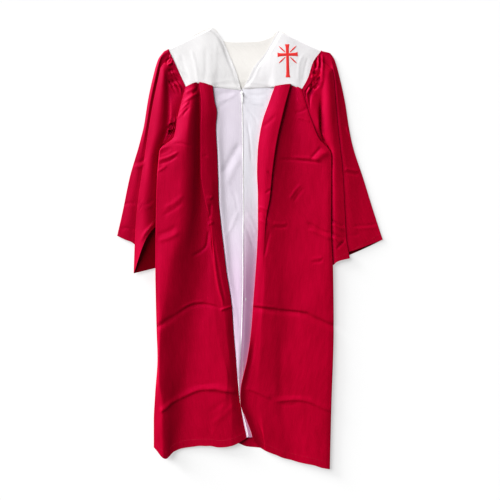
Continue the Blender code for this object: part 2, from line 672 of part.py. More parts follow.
def sleeve_guides(side, drop):
    """Guide points round the folded sleeve, from under the arm out and back over the top."""
    at = sleeve_at(side, drop)
    table, first, second, third = LAYER_Z
    outer, ridge, inner, valley = at["outer"], at["ridge"], at["inner"], at["valley"]
    front_z = at["front_z"]
    inner_reach = np.minimum((front_z - table) / 2, 3)
    inner_z = front_z + ease(*TUCK_UNDER, drop) * (third - front_z)
    return {
        "inner_low": hairpin(inner, inner_z, table, inner_reach)[2:],
        "back": [(inner + share * (outer - inner), table) for share in FLAT_SHARES],
        "outer": hairpin(outer, table, table + OUTER_FOLD, -OUTER_FOLD / 2),
        "lobe": [((outer + ridge) / 2, at["lobe_z"])],
        "foot": [(ridge + np.minimum(4, (outer - ridge) / 4),
                  np.minimum(LOBE_FOOT_Z, at["ridge_z"] - FOOT_BELOW))],
        "hidden": hairpin(at["hidden"], first, second, (second - first) / 2),
        "ridge": hairpin(ridge, at["ridge_z"] - RIDGE_FOLD, at["ridge_z"], -RIDGE_FOLD / 2),
        "crest": [(ridge - CREST_SHARE * (ridge - valley), at["crest_z"])],
        "valley": [(valley, VALLEY_Z)],
        "front": [(valley + share * (inner - valley), inner_z) for share in FLAT_SHARES],
        "inner_high": hairpin(inner, inner_z, table, inner_reach)[:2],
    }


def sleeve_ends(side, first_of, weights):
    """The drops at which each sample of the sleeve's section starts and ends."""
    count = weights.shape[1]
    stations = armhole_stations(side)
    starts, ends = np.zeros(count), np.zeros(count)
    for part, first in first_of.items():
        fold = part.split("_")[0]
        last = first + (4 if fold in ("outer", "hidden", "ridge") else 2 if fold == "inner" else 1)
        starts[first:last] = SLEEVE_START[side].get(fold, 0)
        ends[first:last] = CUFF[side].get(fold, 0)
    for part in ("hidden", "ridge"):
        starts[first_of[part]:first_of[part] + 4] += GATHER_STEP * np.arange(4)
    starts[first_of["outer"]:first_of["outer"] + 4] += GATHER_STEP * np.array([1, 0, 0, 1])
    starts[first_of["inner_low"]:first_of["inner_low"] + 2] = stations[-1] + np.array(ARMPIT_LAG)
    starts[first_of["inner_high"]:first_of["inner_high"] + 2] = stations[-1] + np.array(ARMPIT_LAG[::-1])
    for part, before, after in (("front", "valley", "inner"), ("back", "inner", "outer")):
        first, step = first_of[part], (CUFF[side][after] - CUFF[side][before]) / 5
        ends[first:first + 4] = CUFF[side][before] + step * np.arange(1, 5)
    start, finish = weights @ starts, weights @ ends
    # The front's samples from its second on, and all the back's, go onto the armhole's sections.
    for part, skip, drops in (("front", 1, stations), ("back", 0, stations[::-1])):
        first = np.flatnonzero(weights[:, first_of[part]])[skip]
        start[first:first + len(drops)] = drops
    return start, finish


def sleeve(side, name):
    sample = sleeve_guides(side, np.array([400.0]))
    parts = [part for part, points in sample.items() for _ in points]
    first_of = {part: parts.index(part) for part in sample}
    tight = {first_of["foot"], first_of["inner_low"], first_of["inner_high"] + 1}
    for part in ("outer", "hidden", "ridge"):
        tight |= {first_of[part] + 1, first_of[part] + 2}
    weights = spline_weights(len(parts), tight, closed=True)
    start, finish = sleeve_ends(side, first_of, weights)
    is_back = weights @ np.array([part in ("inner_low", "back") for part in parts], float)
    is_back += 0.5 * weights[:, first_of["outer"]] + 0.5 * weights[:, first_of["outer"] + 1]
    is_front = 1 - np.clip(is_back, 0, 1)
    slide = ease(*SEAM_SLIDE, start)
    leave = weights @ np.array([HEAD_SHARE[part.split("_")[0]] for part in parts])
    grid = []
    for share in SLEEVE_ROWS:
        drop = start + (finish - start) * share
        guides = [point for points in sleeve_guides(side, drop).values() for point in points]
        out = sum(weights[:, k] * guide[0] for k, guide in enumerate(guides))
        z = sum(weights[:, k] * guide[1] for k, guide in enumerate(guides))
        free = ease(0, leave, share)
        # Low on the armhole the cloth first runs beside the seam, and high up straight down.
        held = start + slide * (drop - start)
        seam_out = armhole(side, held, sleeve_at(side, held)["inner"]) + ARMHOLE_GAP
        seam_z = TABLE_Z + is_front * (line(ARMHOLE_Z, held) - TABLE_Z)
        grid.append(np.stack([seam_out + free * (out - seam_out), drop,
                              seam_z + free * (z - seam_z)], axis=-1))
    grid = np.array(grid)
    return wall(name, place(side * grid[..., 0], grid[..., 1], grid[..., 2]),
                material("red polyester", RED), closed=True)


def sleeve_at(side, drop):
    return columns(SLEEVE_COLUMNS, SLEEVE[side], drop)


def seam_end(side):
    """The drop at which the side seam ends at the hem."""
    return line(HEM[side], SIDE[side][-1][1] - ROLL[-1][-1])


def armhole_points(side, share):
    """Points on the yoke's armhole edge, from the shoulder down to the corner."""
    top, bottom = YOKE_ARMHOLE[side][0][1], YOKE_ARMHOLE[side][-1][1]
    drop = top + share * (bottom - top)
    return np.stack([armhole(side, drop, 0), drop], axis=-1)


def armhole_stations(side):
    """The drops on the armhole where the body has its sections, and one on the yoke's edge."""
    top = SIDE[side][0][0]
    rows = top + (seam_end(side) - top) * np.array(BODY_ROWS[:ARMHOLE_ROWS])
    return np.concatenate([[top - YOKE_STATION], rows])


def armhole(side, drop, below):
    """Distance out of the armhole seam at each drop, along the yoke and then the front, and
    under the arm the distances given."""
    stations = armhole_stations(side)[1:]
    lower = np.interp(drop, stations, columns(SIDE_COLUMNS, SIDE[side], stations)["out"])
    upper = line([(d, out) for out, d in YOKE_ARMHOLE[side]], drop)
    return np.where(drop < stations[0], upper, np.where(drop <= stations[-1], lower, below))


# ---------------------------------------------------------------- the zip


def zip_tape():
    drops = np.linspace(TAPE_TOP, TAPE_END, 13)
    at = columns(ZIP_COLUMNS, ZIP, drops)
    across = np.linspace(-TAPE_WIDTH / 2, TAPE_WIDTH / 2, 3)
    z = at["z"] - CLOTH / 2 - TAPE_BELOW - TAPE_THICK / 2
    grid = place(at["x"][:, None] + across, drops[:, None], z[:, None])
    return wall("zip_tape", grid, material("white tape", WHITE), thick=TAPE_THICK)


def box(lows, highs):
    """Corner points and faces of a box, in millimetres."""
    corners = [(x, y, z) for z in (lows[2], highs[2]) for y in (lows[1], highs[1])
               for x in (lows[0], highs[0])]
    faces = [(0, 2, 3, 1), (4, 5, 7, 6), (0, 1, 5, 4), (2, 6, 7, 3), (0, 4, 6, 2), (1, 3, 7, 5)]
    return np.array(corners, float), faces


def outline_solid(name, outer, hole, low, high, finish, turn):
    """A plate with one hole, both outlines with the same number of points, in millimetres."""
    outer, hole = np.array(outer, float), np.array(hole, float)
    count = len(outer)
    rings = [np.column_stack([ring, np.full(count, level)]) for level in (low, high)
             for ring in (outer, hole)]
    faces = []
    for i in range(count):
        j = (i + 1) % count
        o0, h0, o1, h1 = (k * count for k in range(4))
        faces += [(o0 + j, o0 + i, h0 + i, h0 + j), (o1 + i, o1 + j, h1 + j, h1 + i),
                  (o0 + i, o0 + j, o1 + j, o1 + i), (h0 + j, h0 + i, h1 + i, h1 + j)]
    points = turn(np.concatenate(rings)) * MM
    made = add_object(name, points, faces, finish)
    if signed_volume(made.data) < 0:
        made.data.flip_normals()
    return made


def zip_slider(seat):
    """The slider's plate with its bridge, a standing loop that the pull tab hangs from."""
    width, length, thick = SLIDER_SIZE
    enamel = material("white enamel", ENAMEL, 0.35, 0.1)
    corners, faces = box((-width / 2, -length / 2, 0), (width / 2, length / 2, thick))
    plate = add_object("zip_slider", corners * MM, faces, enamel)
    plate.location = seat
    hole_long, hole_high = BRIDGE_HOLE
    half, high, cut = hole_long / 2 + BRIDGE_WIRE, hole_high + BRIDGE_WIRE, BRIDGE_CORNER
    arch = [(-half, -BRIDGE_SINK), (half, -BRIDGE_SINK), (half, high - cut), (half - cut, high),
            (cut - half, high), (-half, high - cut)]
    inner, low, cut = hole_long / 2, 0.02, HOLE_CORNER
    hole = [(-inner, low), (inner, low), (inner, hole_high - cut), (inner - cut, hole_high),
            (cut - inner, hole_high), (-inner, hole_high - cut)]
    bridge = outline_solid("bridge", arch, hole, -BRIDGE_WIDTH / 2, BRIDGE_WIDTH / 2, enamel,
                           lambda p: p[:, [2, 0, 1]] + (0, 0, thick))
    bridge.location = seat
    bridge.hide_render = True
    bridge.display_type = "WIRE"
    union = plate.modifiers.new("bridge", "BOOLEAN")
    union.operation = "UNION"
    union.object = bridge
    return plate


def pull_tab(hinge):
    """The pull tab, with its origin on the hinge and its window round the bridge."""
    width, length, thick = TAB_SIZE
    half, bar, cut = width / 2, TAB_BAR, TAB_CORNER
    outer = [(-half, bar), (half, bar), (half, cut - length), (half - cut, -length),
             (cut - half, -length), (-half, cut - length)]
    inner, cut = TAB_INNER / 2, WINDOW_CORNER
    hole = [(-inner, -bar), (inner, -bar), (inner, cut - TAB_WINDOW), (inner - cut, -TAB_WINDOW),
            (cut - inner, -TAB_WINDOW), (-inner, cut - TAB_WINDOW)]
    cos, sin = math.cos(TAB_REST_TILT), math.sin(TAB_REST_TILT)
    tilt = np.array([(1, 0, 0), (0, cos, sin), (0, -sin, cos)])
    tab = outline_solid("zip_pull_tab", outer, hole, -thick / 2, thick / 2,
                        material("white enamel", ENAMEL, 0.35, 0.1), lambda p: p @ tilt)
    tab.location = hinge
    return tab


def clear_scene():
    for thing in list(bpy.data.objects):
        bpy.data.objects.remove(thing, do_unlink=True)


def main():
    clear_scene()
    yoke_back()
    back_panel()
    zip_tape()
    for side, name in ((LEFT, "at_left"), (RIGHT, "at_right")):
        yoke_front(side, "yoke_front_" + name)
        white_panel(side, "panel_white_" + name)
        front(side, "front_red_" + name)
        sleeve(side, "sleeve_" + name)
    at = columns(ZIP_COLUMNS, ZIP, float(SLIDER_DROP))
    top_of_cloth = at["z"] + CLOTH / 2
    zip_slider(place(at["x"], SLIDER_DROP, top_of_cloth + SLIDER_GAP))
    hinge_z = top_of_cloth + SLIDER_GAP + SLIDER_SIZE[2] + BRIDGE_HOLE[1] / 2
    pull_tab(place(at["x"], SLIDER_DROP, hinge_z))


main()
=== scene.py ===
"""The looks of a confirmation robe laid out flat: thin cloth shells, creases, stitching, zip.

Sizes are in millimetres until a mesh is made. `side` is -1 for the half at -X and +1 for the
other. `out` is the distance from the middle line towards that side, `x` the same distance
signed, `drop` the distance down from the top of the collar, and `z` the height above the table.
The tables of the cut are those of the solids; the creases are added over them. A table written
as text has a row to a line; its columns' names stand above it.
"""

import json
import math

import bpy
import numpy as np
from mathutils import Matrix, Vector
from mathutils.bvhtree import BVHTree

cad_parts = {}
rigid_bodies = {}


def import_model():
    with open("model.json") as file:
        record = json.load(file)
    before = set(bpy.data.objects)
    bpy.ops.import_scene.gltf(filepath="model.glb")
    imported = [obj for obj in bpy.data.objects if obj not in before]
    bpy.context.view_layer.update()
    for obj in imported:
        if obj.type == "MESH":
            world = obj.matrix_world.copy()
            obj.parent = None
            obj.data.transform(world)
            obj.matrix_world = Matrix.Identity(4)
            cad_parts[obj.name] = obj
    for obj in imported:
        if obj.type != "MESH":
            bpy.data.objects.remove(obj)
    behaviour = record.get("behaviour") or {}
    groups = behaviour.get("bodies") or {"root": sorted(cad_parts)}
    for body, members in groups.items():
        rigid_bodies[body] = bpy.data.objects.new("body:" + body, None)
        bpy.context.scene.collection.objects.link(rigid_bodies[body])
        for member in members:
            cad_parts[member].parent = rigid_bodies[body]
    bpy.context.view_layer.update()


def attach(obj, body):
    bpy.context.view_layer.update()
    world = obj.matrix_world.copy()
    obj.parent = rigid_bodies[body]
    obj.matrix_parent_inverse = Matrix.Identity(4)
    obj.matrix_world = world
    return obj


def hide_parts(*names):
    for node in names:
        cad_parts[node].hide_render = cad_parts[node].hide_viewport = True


MM = 0.001
CLOTH = 1.0  # thickness that the tables are laid out for
TABLE_Z = CLOTH / 2  # middle of a wall that lies on the table
LEFT, RIGHT = -1, 1
SIDES = ((LEFT, "at_left"), (RIGHT, "at_right"))

# Where the whole robe's footprint has its middle, in the tables' own directions.
FOOTPRINT_OUT = 20.153
FOOTPRINT_DROP = 638.797


def table_of(text):
    """A table's rows of numbers, from a line of text for each."""
    return [tuple(float(word) for word in row.split()) for row in text.strip().splitlines()]


# ---------------------------------------------------------------- tables of the cut

# The pleated strip along the inner edge of each front: the fold that lies over the white,
# the fold on the strip's other side, and how far that second fold has opened (0 to 1).
PLEAT_COLUMNS = "drop inner inner_z strip strip_z opened"
PLEAT = {
    LEFT: table_of("""
    165 88.5 7 126 9 0
    210 83 7.5 121 12 0
    246 76 7 120 14 0
    290 79 7 122 15 0
    372 74.5 7 122 15.5 0
    430 73 7 121 16 0
    499 70.5 7 110 16 0
    563 65 7 96 15 0.7
    640 56 7.5 88 13 1
    701 49 7.5 79 12.5 1
    808 33 7.5 58 13 1
    880 28 7.5 50 14 1
    956 21 7.5 42 14.5 1
    1060 12.5 7 36 14.5 1
    1105 6 6.5 34 14.5 1
    1179 -9 6 34 14.5 1
    1215 -13 5.6 34 13.5 1
"""),
    RIGHT: table_of("""
    165 94 8 138 12 0
    225 72.5 9 122 17 0
    270 57 10 111 19 0
    314 48 10 101 19 0
    358 43 10 93 19 0
    418 41 10 85 18 0
    490 43.5 9 78 16.5 0
    560 43.5 9 67 15 0.7
    640 41 8.5 62 13 1
    789 30.5 8.5 52 12 1
    886 23 10 43 11.5 1
    956 13 13 36 10.5 1
    1062 -7.5 15 18 9 1
    1088 -7 15 20 8.5 1
    1126 7 14 38 7.5 1
    1175 25 13 60 7 1
    1205 32 12 68 7 1
"""),
}

# The broad flute beside the strip: a shoulder, the valley's foot and its far side, the crest,
# the fall towards the side, and the height of the rolled edge.
FLUTE_COLUMNS = ("drop shoulder shoulder_z foot foot_z valley valley_z crest crest_z fall fall_z"
                 " edge_z")
FLUTE = {
    LEFT: table_of("""
    165 126 5 128 5 131 6 142 11 155 10 8
    209 123 5 125 5 128 6 143 19 158 17 11
    267 122 5 124 5 127 6 149 26 168 24 16
    325 122 5 124 5 127 6 154 29 178 27 19
    412 122 5 124 5 127 6 156 30 208 26 22
    499 112 5 116 5 127 7 160 30 212 26 23
    586 98 7 106 6 132 8 170 30 218 26 23
    673 92 9 106 7 138 9 192 29 230 27.5 23
    760 86 10.5 112 7.5 146 9 208 27 236 26.5 22
    847 82 13.5 130 7.5 164 8.5 230 25 241 24 20
    934 64 15 140 7 174 8 237 25 243 23.5 20
    1021 50 17 150 7 178 8 238 26 244 24 20
    1079 58 16 154 7 186 7.5 228 25 241 22 18.5
    1150 78 13.5 162 7 192 7.5 227 24 241 21.5 18
    1200 100 11 168 6.5 196 7 225 23 241 20 16
"""),
    RIGHT: table_of("""
    165 144 5 149 6 153 6.5 158 8 162 8.5 8
    238 128 8 138 6.5 152 5.5 172 8.5 182 10 10
    325 108 11 120 8.5 148 5 196 10.5 210 12 12
    412 94 11 108 9 150 5 218 10.5 242 13.5 12.5
    499 88 11 104 9 148 5 222 10.5 244 13.5 12.5
    586 76 12 94 10 138 6 222 11 244 13.5 12.5
    673 70 13 92 11 134 6.5 218 11.5 246 14 12.5
    760 66 14 92 12 136 6.5 212 12 248 13.5 12
    847 60 13.5 90 11.5 132 7 196 12 246 13 11.5
    934 56 12.5 90 10.5 128 7 190 11.5 242 13.5 12
    1021 50 11 94 9.5 128 7 188 11.5 240 13.5 12
    1108 58 10 100 9 132 7 188 11.5 240 13 11.5
    1278 76 9 110 8.5 138 7 188 11 238 12 10
"""),
}

# The outer edge of the body: the armhole down to the underarm, then the rolled side.
SIDE_COLUMNS = "drop out"
SIDE = {
    LEFT: table_of("""
    175 167
    210 176
    262 189
    317 199
    352 238
    363 242
    455 248
    581 251
    690 252
    863 249
    956 246
    1060 253
    1141 257
    1215 257
"""),
    RIGHT: table_of("""
    181 171
    240 188
    282 203
    322 220
    355 250
    366 255
    383 256
    586 255
    692 260
    863 262
    1108 255
    1278 251
"""),
}

# How the side rolls under: the bottom of the roll, and the side seam's height and its distance
# in from the edge. The sleeves' inner halves pass below the roll.
ROLL_COLUMNS = "drop low seam_z turn"
ROLL = (
    (175, 5, 3.6, 2),
    (230, 8, 6.6, 2),
    (345, 8.6, 7.2, 3),
    (362, 8.8, 7.2, 14),
    (380, 8.8, 7.2, 22),
    (430, 8.8, 7.2, 33),
    (718, 8.8, 7.2, 35),
    (790, 5, TABLE_Z, 35),
    (1280, 4, TABLE_Z, 35),
)
ROLL_DEPTH, ROLL_THINS = 5, (350, 440)  # most that the rolled edge is open below the underarm
ARM_LOWER = {LEFT: 0, RIGHT: 9}  # how much lower than in this table the underarm comes
SEAM_LAP = 1.4  # height of the front's edge over the back's edge at the side seam

# Where the armhole has its corners, as shares of the panels' length, and the share below which
# the rows spread out to the hem.
ARMHOLE_ROWS = (0, 0.045, 0.088, 0.13, 0.16)
ARM_SHARE = 0.21
YOKE_DROP, HEM_DROP, BACK_DROP = 170, 1215, 1190  # drops whose widths set the panels' end lines
SEAM_HIDE = 18  # how far outside the inner fold the red is sewn to the white
TUCK_DEPTH = 15  # how far the strip's second fold goes in below it
WHITE_Z = 3.2  # height of the white panels' middle where they meet the red
UNDER_GAP = 0.4  # between the white and the red folded over it
STRIP_CROWN = {  # how much the strip is arched, at drops
    LEFT: ((0, 2.5), (500, 2.5), (563, 1), (1300, 1)),
    RIGHT: ((0, 3), (500, 3), (600, 1), (880, 0), (956, -3), (1300, -3)),
}
STRIP_BEND = 3.0  # width of the bend at the strip's outer edge where the second fold is open
SEAM_TURN = (0.5, 0.8, 0.88, 1)  # places under the roll, as shares of the way to the side seam
FOLD_TURN, FLATTER_TURN = 2.2, (1.4, 640, 900)  # the inner fold's bend, and by how much less it
# bends at right, over these drops
LEAST_ROLL, HEAD_ROLL = 2.4, 20  # least depth of the rolled edge, and what the head adds to it

# The back panel's two pleats.
BACK_PLEAT = 160  # fold edge, out from the middle
BACK_TUCK = 12
BACK_IN = 5  # how far its armhole edges lie inside the front's
BACK_LAP = 0.95  # how far under the front's roll its edge goes, as a share of the roll
UNDER_ARM = (344, 362)  # drops over which its edges rise to the rolled sides
UNDER_ARM_IN = 4  # how much further in its edges lie where they start to rise
BACK_RISE = (36, 20)  # how far in from its edge the rise starts and ends
PLEAT_LAYER = 2.0
BACK_SETTLE = (1.5, 8, 12)  # how far past the pleat it stands up, lies down and may rise again

# The line where the zip's two halves meet, and the height that it stands to.
ZIP_COLUMNS = "drop x z"
ZIP = table_of("""
    180 -3 3.2
    240 -2 4
    400 0 5
    540 1 5
    620 0 8
    700 0 9
    860 -3 9.5
    956 -8 8.5
    1030 -12 6
    1075 -9.5 5
    1110 -2 5.5
    1150 8 7
    1190 17 7
""")

# The hems, as drop at each distance out, and the lines of the yoke's lower edge.
HEM = {
    LEFT: ((-14, 1188), (15, 1203), (35, 1210), (68, 1214), (100, 1210), (160, 1214),
           (199, 1226), (222, 1245), (257, 1214)),
    RIGHT: ((30, 1192), (55, 1219), (101, 1240), (147, 1254), (212, 1268), (251, 1278)),
}
YOKE_LINE = {
    LEFT: ((3, 181), (60, 176), (88, 171), (129, 161), (167, 175)),
    RIGHT: ((1, 178), (60, 175), (93, 172), (136, 167), (171, 181)),
}
BACK_HEM = ((-225, 1243), (-199, 1220), (-160, 1208), (-100, 1204), (-20, 1203), (10, 1213),
            (50, 1217), (101, 1232), (147, 1248), (216, 1268))
PANEL_TOP, PANEL_HEM = 180, 1186
YOKE_HEM_Z = ((0, 4.4), (70, 4.6), (95, 7.4), (150, 8), (170, 7))  # height at distances out
YOKE_PUFF = 2.0
YOKE_RISE = 2.4  # how far the back yoke is carried up between the front yokes, and the drops
# and distances out over which it rises and falls
YOKE_RISE_OVER = ((50, 130), (178, 150), (90, 40))
YOKE_REST = 0.1  # gap where the front yokes rest on it
YOKE_HEM_TURN, NECK_TURN = 1.2, 3.2  # how far its lower edge and its neck edge turn down
YOKE_HEM_SHARE, NECK_SHARE = 0.975, 0.1  # shares down and across it from which they turn
SHOULDER_ROLL, SHOULDER_TURNS = 2.0, (90, 68, 45, 22)
SHOULDER_END_Z = TABLE_Z + CLOTH / 2 + 0.3  # end of the curl, on the back yoke

# Corners and edges of each front yoke, as (out, drop): shoulder, neck edge, armhole.
SHOULDER = {
    LEFT: ((88, 0), (189, 49), (206, 57), (220, 60)),
    RIGHT: ((101.5, 9), (146, 30), (196, 54), (228.5, 68)),
}
NECK_EDGE = {
    LEFT: ((88, 0), (67, 21), (41, 75), (15, 142), (5.5, 181)),
    RIGHT: ((101.5, 9), (63, 75), (31, 115), (14, 150), (-0.5, 178)),
}
YOKE_ARMHOLE = {
    LEFT: ((220, 60), (196, 112), (167, 175)),
    RIGHT: ((228.5, 68), (206, 100), (190, 149), (171, 181)),
}
# The back of the neck, as (x, drop), from the collar's -X corner to its +X corner.
BACK_NECK = ((-88, 0), (-67, 21), (-57, 38), (-22, 42), (40, 40), (82, 27), (101.5, 9))
BACK_YOKE_LINE = ((-167, 175), (-120, 184), (120, 184), (171, 181))

# The sleeves: the outer edge, the fold of the ridge that lies on the outer lobe, the hidden
# fold under it, the valley beside the ridge and the hidden inner fold, with their heights.
SLEEVE_COLUMNS = "drop outer ridge hidden valley inner lobe_z foot_z ridge_z crest_z valley_z front_z"
SLEEVE = {
    LEFT: table_of("""
    60 222 221 220 218 217 5 3 6 8 6 7
    93 246 233 226 219 204 7 2.4 9 13 6 8
    145 261 244 234 216 181 8.5 2.4 9.5 16 4 10
    210 275 258 246 215 176 8 3 9.5 17 4 12
    285 287 271 252 216 193 7 4 9.5 17.5 4 11
    318 295 276 249 226 214 6.5 4.4 9.5 17 4.5 7
    352 304 281 246 240 237 6 4.8 9.5 16 7 5.3
    378 312 285 246 247 238 6 5 10 16 8 5.3
    430 327 293 243 251 205 6.5 5.4 11 16.5 9 5.3
    540 350 307 244 255 203 7 6 13 18.5 12 5.3
    620 368 312 245 257 204 6 4 14 23.5 17 5.3
    712 385 315.5 246 257 205 6 4 12 29 20 5.3
"""),
    RIGHT: table_of("""
    63 236 234 230 228 227 5 4 7 9 6 7
    70 248 240 235 228 224 6 5 8 10 6 7
    76 254 244 238 227 220 6 6 9 12 6 8
    93 265 250 243 226 212 6 7 10 14 6 9
    145 280 262 252 225 191 6.5 9.7 10 15.5 4.5 11
    219.5 296 268 256 225 182 6.5 9.7 10 15.5 4 12
    285 306 274 259 225 206 6.5 9.7 10 15.5 4 11
    322 313 278 260 236 228 6.5 9.7 10 14.5 6 7
    358 322 282 261 254 250 6.5 9.6 10 13.5 8 5.3
    392 333 286 257 258 253.5 6.5 9.2 9.6 13.5 9 5.3
    430 346 289 252 258 212 6.4 9 9.6 13.5 9.5 5.3
    520 374 294 250 259 209 6 8.8 9.4 13 9.5 5.3
    609 403 299 250 260 212 6 8.4 9.2 12.5 9.5 5.3
    669 424 309 252 262 213 5.8 8 9 12 9.5 5.3
    700 434 314 252 262 214 5.8 8 9 12 9.5 5.3
"""),
}
# The drops at which the sleeve's folds start on the armhole, and end at the cuff. The flat
# parts start and end at even steps between the folds beside them.
SLEEVE_START = {
    LEFT: {"outer": 61, "lobe": 64, "foot": 66, "hidden": 68, "ridge": 73, "crest": 86,
           "valley": 112},
    RIGHT: {"outer": 66, "lobe": 70, "foot": 74, "hidden": 76, "ridge": 81, "crest": 94,
            "valley": 118},
}
CUFF = {
    LEFT: {"outer": 603, "lobe": 615, "foot": 622, "hidden": 694, "ridge": 711, "crest": 616,
           "valley": 578, "inner": 556},
    RIGHT: {"outer": 614, "lobe": 632, "foot": 650, "hidden": 656, "ridge": 668, "crest": 676,
            "valley": 688, "inner": 696},
}
LAYER_Z = (TABLE_Z, 2.1, 3.7, 5.3)  # the sleeve's stacked layers
OUTER_FOLD = 3.5  # height of the fold at the sleeve's outer edge
RIDGE_FOLD = 2.2  # height of the ridge's fold
INNER_TURN, FOOT_REACH = 3, 4  # most of the inner fold's bend, and of the foot beside the ridge
CREST_SHARE = {  # where the ridge's crest lies between its fold and the valley
    LEFT: ((60, 0.5), (145, 0.62), (300, 0.6), (400, 0.55), (712, 0.5)),
    RIGHT: ((66, 0.5), (300, 0.5), (392, 0.8), (712, 0.8)),
}
FRONT_TILT = {LEFT: 0, RIGHT: 0.35}  # how the front part of the sleeve's head rises outwards
FLAT_SHARES = (0.2, 0.4, 0.6, 0.8)  # guide points across the sleeve's flat parts
TUCK_UNDER = (330, 400)  # drops over which the sleeve's inner half goes under the body
ARMHOLE_Z = ((60, 4), (110, 6), (175, 6.5), (250, 8), (312, 5.3), (345, 5.3))
YOKE_STATION = 32  # height over the yoke's corner of the sleeve's last section on the yoke
SEAM_TUCK = 3.0  # how far the sleeve's edge goes in below the body's at the armhole
TUCK_ENDS, TUCK_BELOW = (372, 352), (285, 310)  # drops where that ends below the arm, and where
# the sleeve's hidden half starts to be tucked in too
ARMHOLE_GAP = 0.1  # from the middle of the body's edge to the sleeve's where it isn't tucked in
GATHER_STEP = 1.2  # spacing of a fold's guide points along the armhole
SEAM_SLIDE = (100, 165)  # drops over which the cloth goes from straight down to along the seam
# The shares of the sleeve's length over which its parts leave the armhole.
HEAD_SHARE = {"outer": 0.015, "lobe": 0.035, "foot": 0.06, "hidden": 0.08, "ridge": 0.07,
              "crest": 0.08, "valley": 0.12, "front": 0.2, "inner": 0.22, "back": 0.1}

# The zip and its slider.
ZIP_GAP = 3.0  # between the two panels' edges, over the teeth
# How far the rows of stitches lie from their edges, and how much shorter the zip's are.
YOKE_STITCH, PLACKET_STITCH, BACK_NECK_STITCH, PLACKET_SHORT = 3.0, 7.5, 9, 8
YOKE_SHORT, BACK_NECK_SHORT = 0.02, 0.03  # shares of their rows left out at each end
EDGE_POINTS, PLACKET_POINTS = 40, 90
CUFF_FOLDS = ("outer", "ridge", "valley", "inner")
ZIP_CLOSES, ZIP_CLOSING = 1.0, (430, 620)  # how much further each panel reaches over the teeth
# lower down, and the drops over which it starts to
ZIP_RISE_SHARE = 0.7  # share of a panel's width over which it comes down from the zip
SLIDER_DROP = 191

# Cloth shells: their thickness, and how far apart their points are.
SHELL = 0.7
SHARP_FROM = math.radians(50)  # edges that turn by more than this are shown sharp
FRONT_ROWS = 330
PANEL_ROWS, PANEL_COLUMNS = 230, 36
BACK_ROWS = 180
YOKE_FRONT_ROWS, YOKE_FRONT_COLUMNS = 50, 64
YOKE_BACK_ROWS, YOKE_BACK_COLUMNS = 44, 120
SLEEVE_ROWS = 200
# The rows' spacing: at shares of the length, how many times closer together they lie.
HEAD_CLOSER = ((0, 2.6), (0.18, 2.4), (0.27, 1), (1, 1))
FRONT_CLOSER = ((0, 1.2), (0.57, 1.1), (0.59, 2), (0.67, 2), (0.69, 1), (0.82, 1), (0.835, 1.6),
                (0.9, 1.6), (0.915, 1), (1, 1))  # where the creases across the front lie
COLUMN_STEP = 3.6  # about how far apart the points across a piece are
CREASE_STEP, CREASE_FADE = 6.0, 0.18  # a crease's line is read this finely; its ends fade out
LEAST_SAMPLES = 3  # points in each span between guide points
HEM_DEPTH, HEM_STEP, HEM_STEP_OVER = 20, 0.35, (22.5, 19)  # the turned hem and its step
# Its slight waves: their height, size, how far up they reach, and the seed at the middle.
HEM_WAVE, HEM_WAVE_SIZE, HEM_WAVE_REACH, HEM_SEED = 0.9, 34, 60, 5
TOP_TUCK = 3.0  # how far a panel's top goes in under the yoke's lower edge
GATHER_PITCH, GATHER_HEIGHT, GATHER_REACH = 12.0, 1.3, 18.0  # the sleeve heads' puckers
GATHER_START = 5  # how far from the seam they are full
GATHER_SWAY, GATHER_SWAY_PITCH = 1.5, 17  # how unevenly they follow each other
RIPPLE_WAVES, RIPPLE_SIZES, RIPPLE_FULL = 9, (0.7, 1.7), 4  # waves laid over each other
# The slight unevenness of each kind of piece: its height, the waves' size, the seed at the middle,
# how much longer the waves are downwards, and the cloth's heights where it starts and is full.
UNEVEN = {
    "front": ((0.35, 60, 11, 2.0, 1.5, 6.0), (0.12, 21, 31, 2.0, 1.5, 6.0)),
    "panel": ((0.3, 45, 51, 2.0, 0, 3),),
    "yoke": ((0.35, 70, 71, 1.2, 1, 3),),
    "sleeve": ((0.35, 50, 91, 2.5, 3, 7),),
}
# The cloth's heights at which it starts to be moved by a crease and is moved fully. The hidden
# layers start at the first height and are moved fully below the second.
FELT = {"front": (1.5, 6.0), "panel": (0, 3), "yoke": (1, 3), "sleeve": (2, 4.5),
        "head": (0.6, 1.8), "back": (1.6, 0.9), "sleeve_back": (1.2, 0.7)}
# Drops of the sections that set how many samples a piece's spans get.
SAMPLE_DROPS = {"front": (230, 560, 1000), "back": (300, 560, 1000), "sleeve": (250, 560)}

# Linear colours of the threads: the cloth's own, and a darker one that shows between them.
RED_THREAD = ((0.360, 0.0004, 0.0195), (0.280, 0.0003, 0.0115))
# The sleeves' inside: a duller wrong side, made much darker still as painted shade.
RED_WRONG_SIDE_AND_SHADE = ((0.19, 0.0002, 0.005), (0.15, 0.0002, 0.004))
WHITE_THREAD = ((0.66, 0.65, 0.65), (0.62, 0.61, 0.615))
# The right yoke is the same white polyester, made darker as painted shade.
RIGHT_YOKE_SHADED_THREAD = ((0.64, 0.63, 0.64), (0.605, 0.59, 0.60))
INSIDE_THREAD = ((0.69, 0.67, 0.645), (0.65, 0.63, 0.605))
# The white panels are the white polyester with painted shade: the left darker and lavender, the right a
# little bluer.
LEFT_PANEL_SHADED_THREAD = ((0.59, 0.545, 0.61), (0.55, 0.50, 0.575))
RIGHT_PANEL_SHADED_THREAD = ((0.655, 0.645, 0.69), (0.615, 0.60, 0.65))
PANEL_PAINTED_LOW_SHADE = {  # painted shade and painted reflection of the red cloth, and the drops over which that starts
    LEFT: ((0.90, 0.76, 0.86), (520, 780)),
    RIGHT: ((0.76, 0.42, 0.62), (420, 780)),
}
EMBLEM_THREAD = ((0.72, 0.035, 0.03), (0.50, 0.02, 0.02))
RED_STITCHES, WHITE_STITCHES = (0.33, 0.003, 0.02), (0.72, 0.71, 0.71)
PLASTIC, ENAMEL = (0.87, 0.87, 0.86), (0.88, 0.88, 0.88)
THREAD_PITCH, TAPE_PITCH, EMBLEM_PITCH = 0.0005, 0.0008, 0.0006
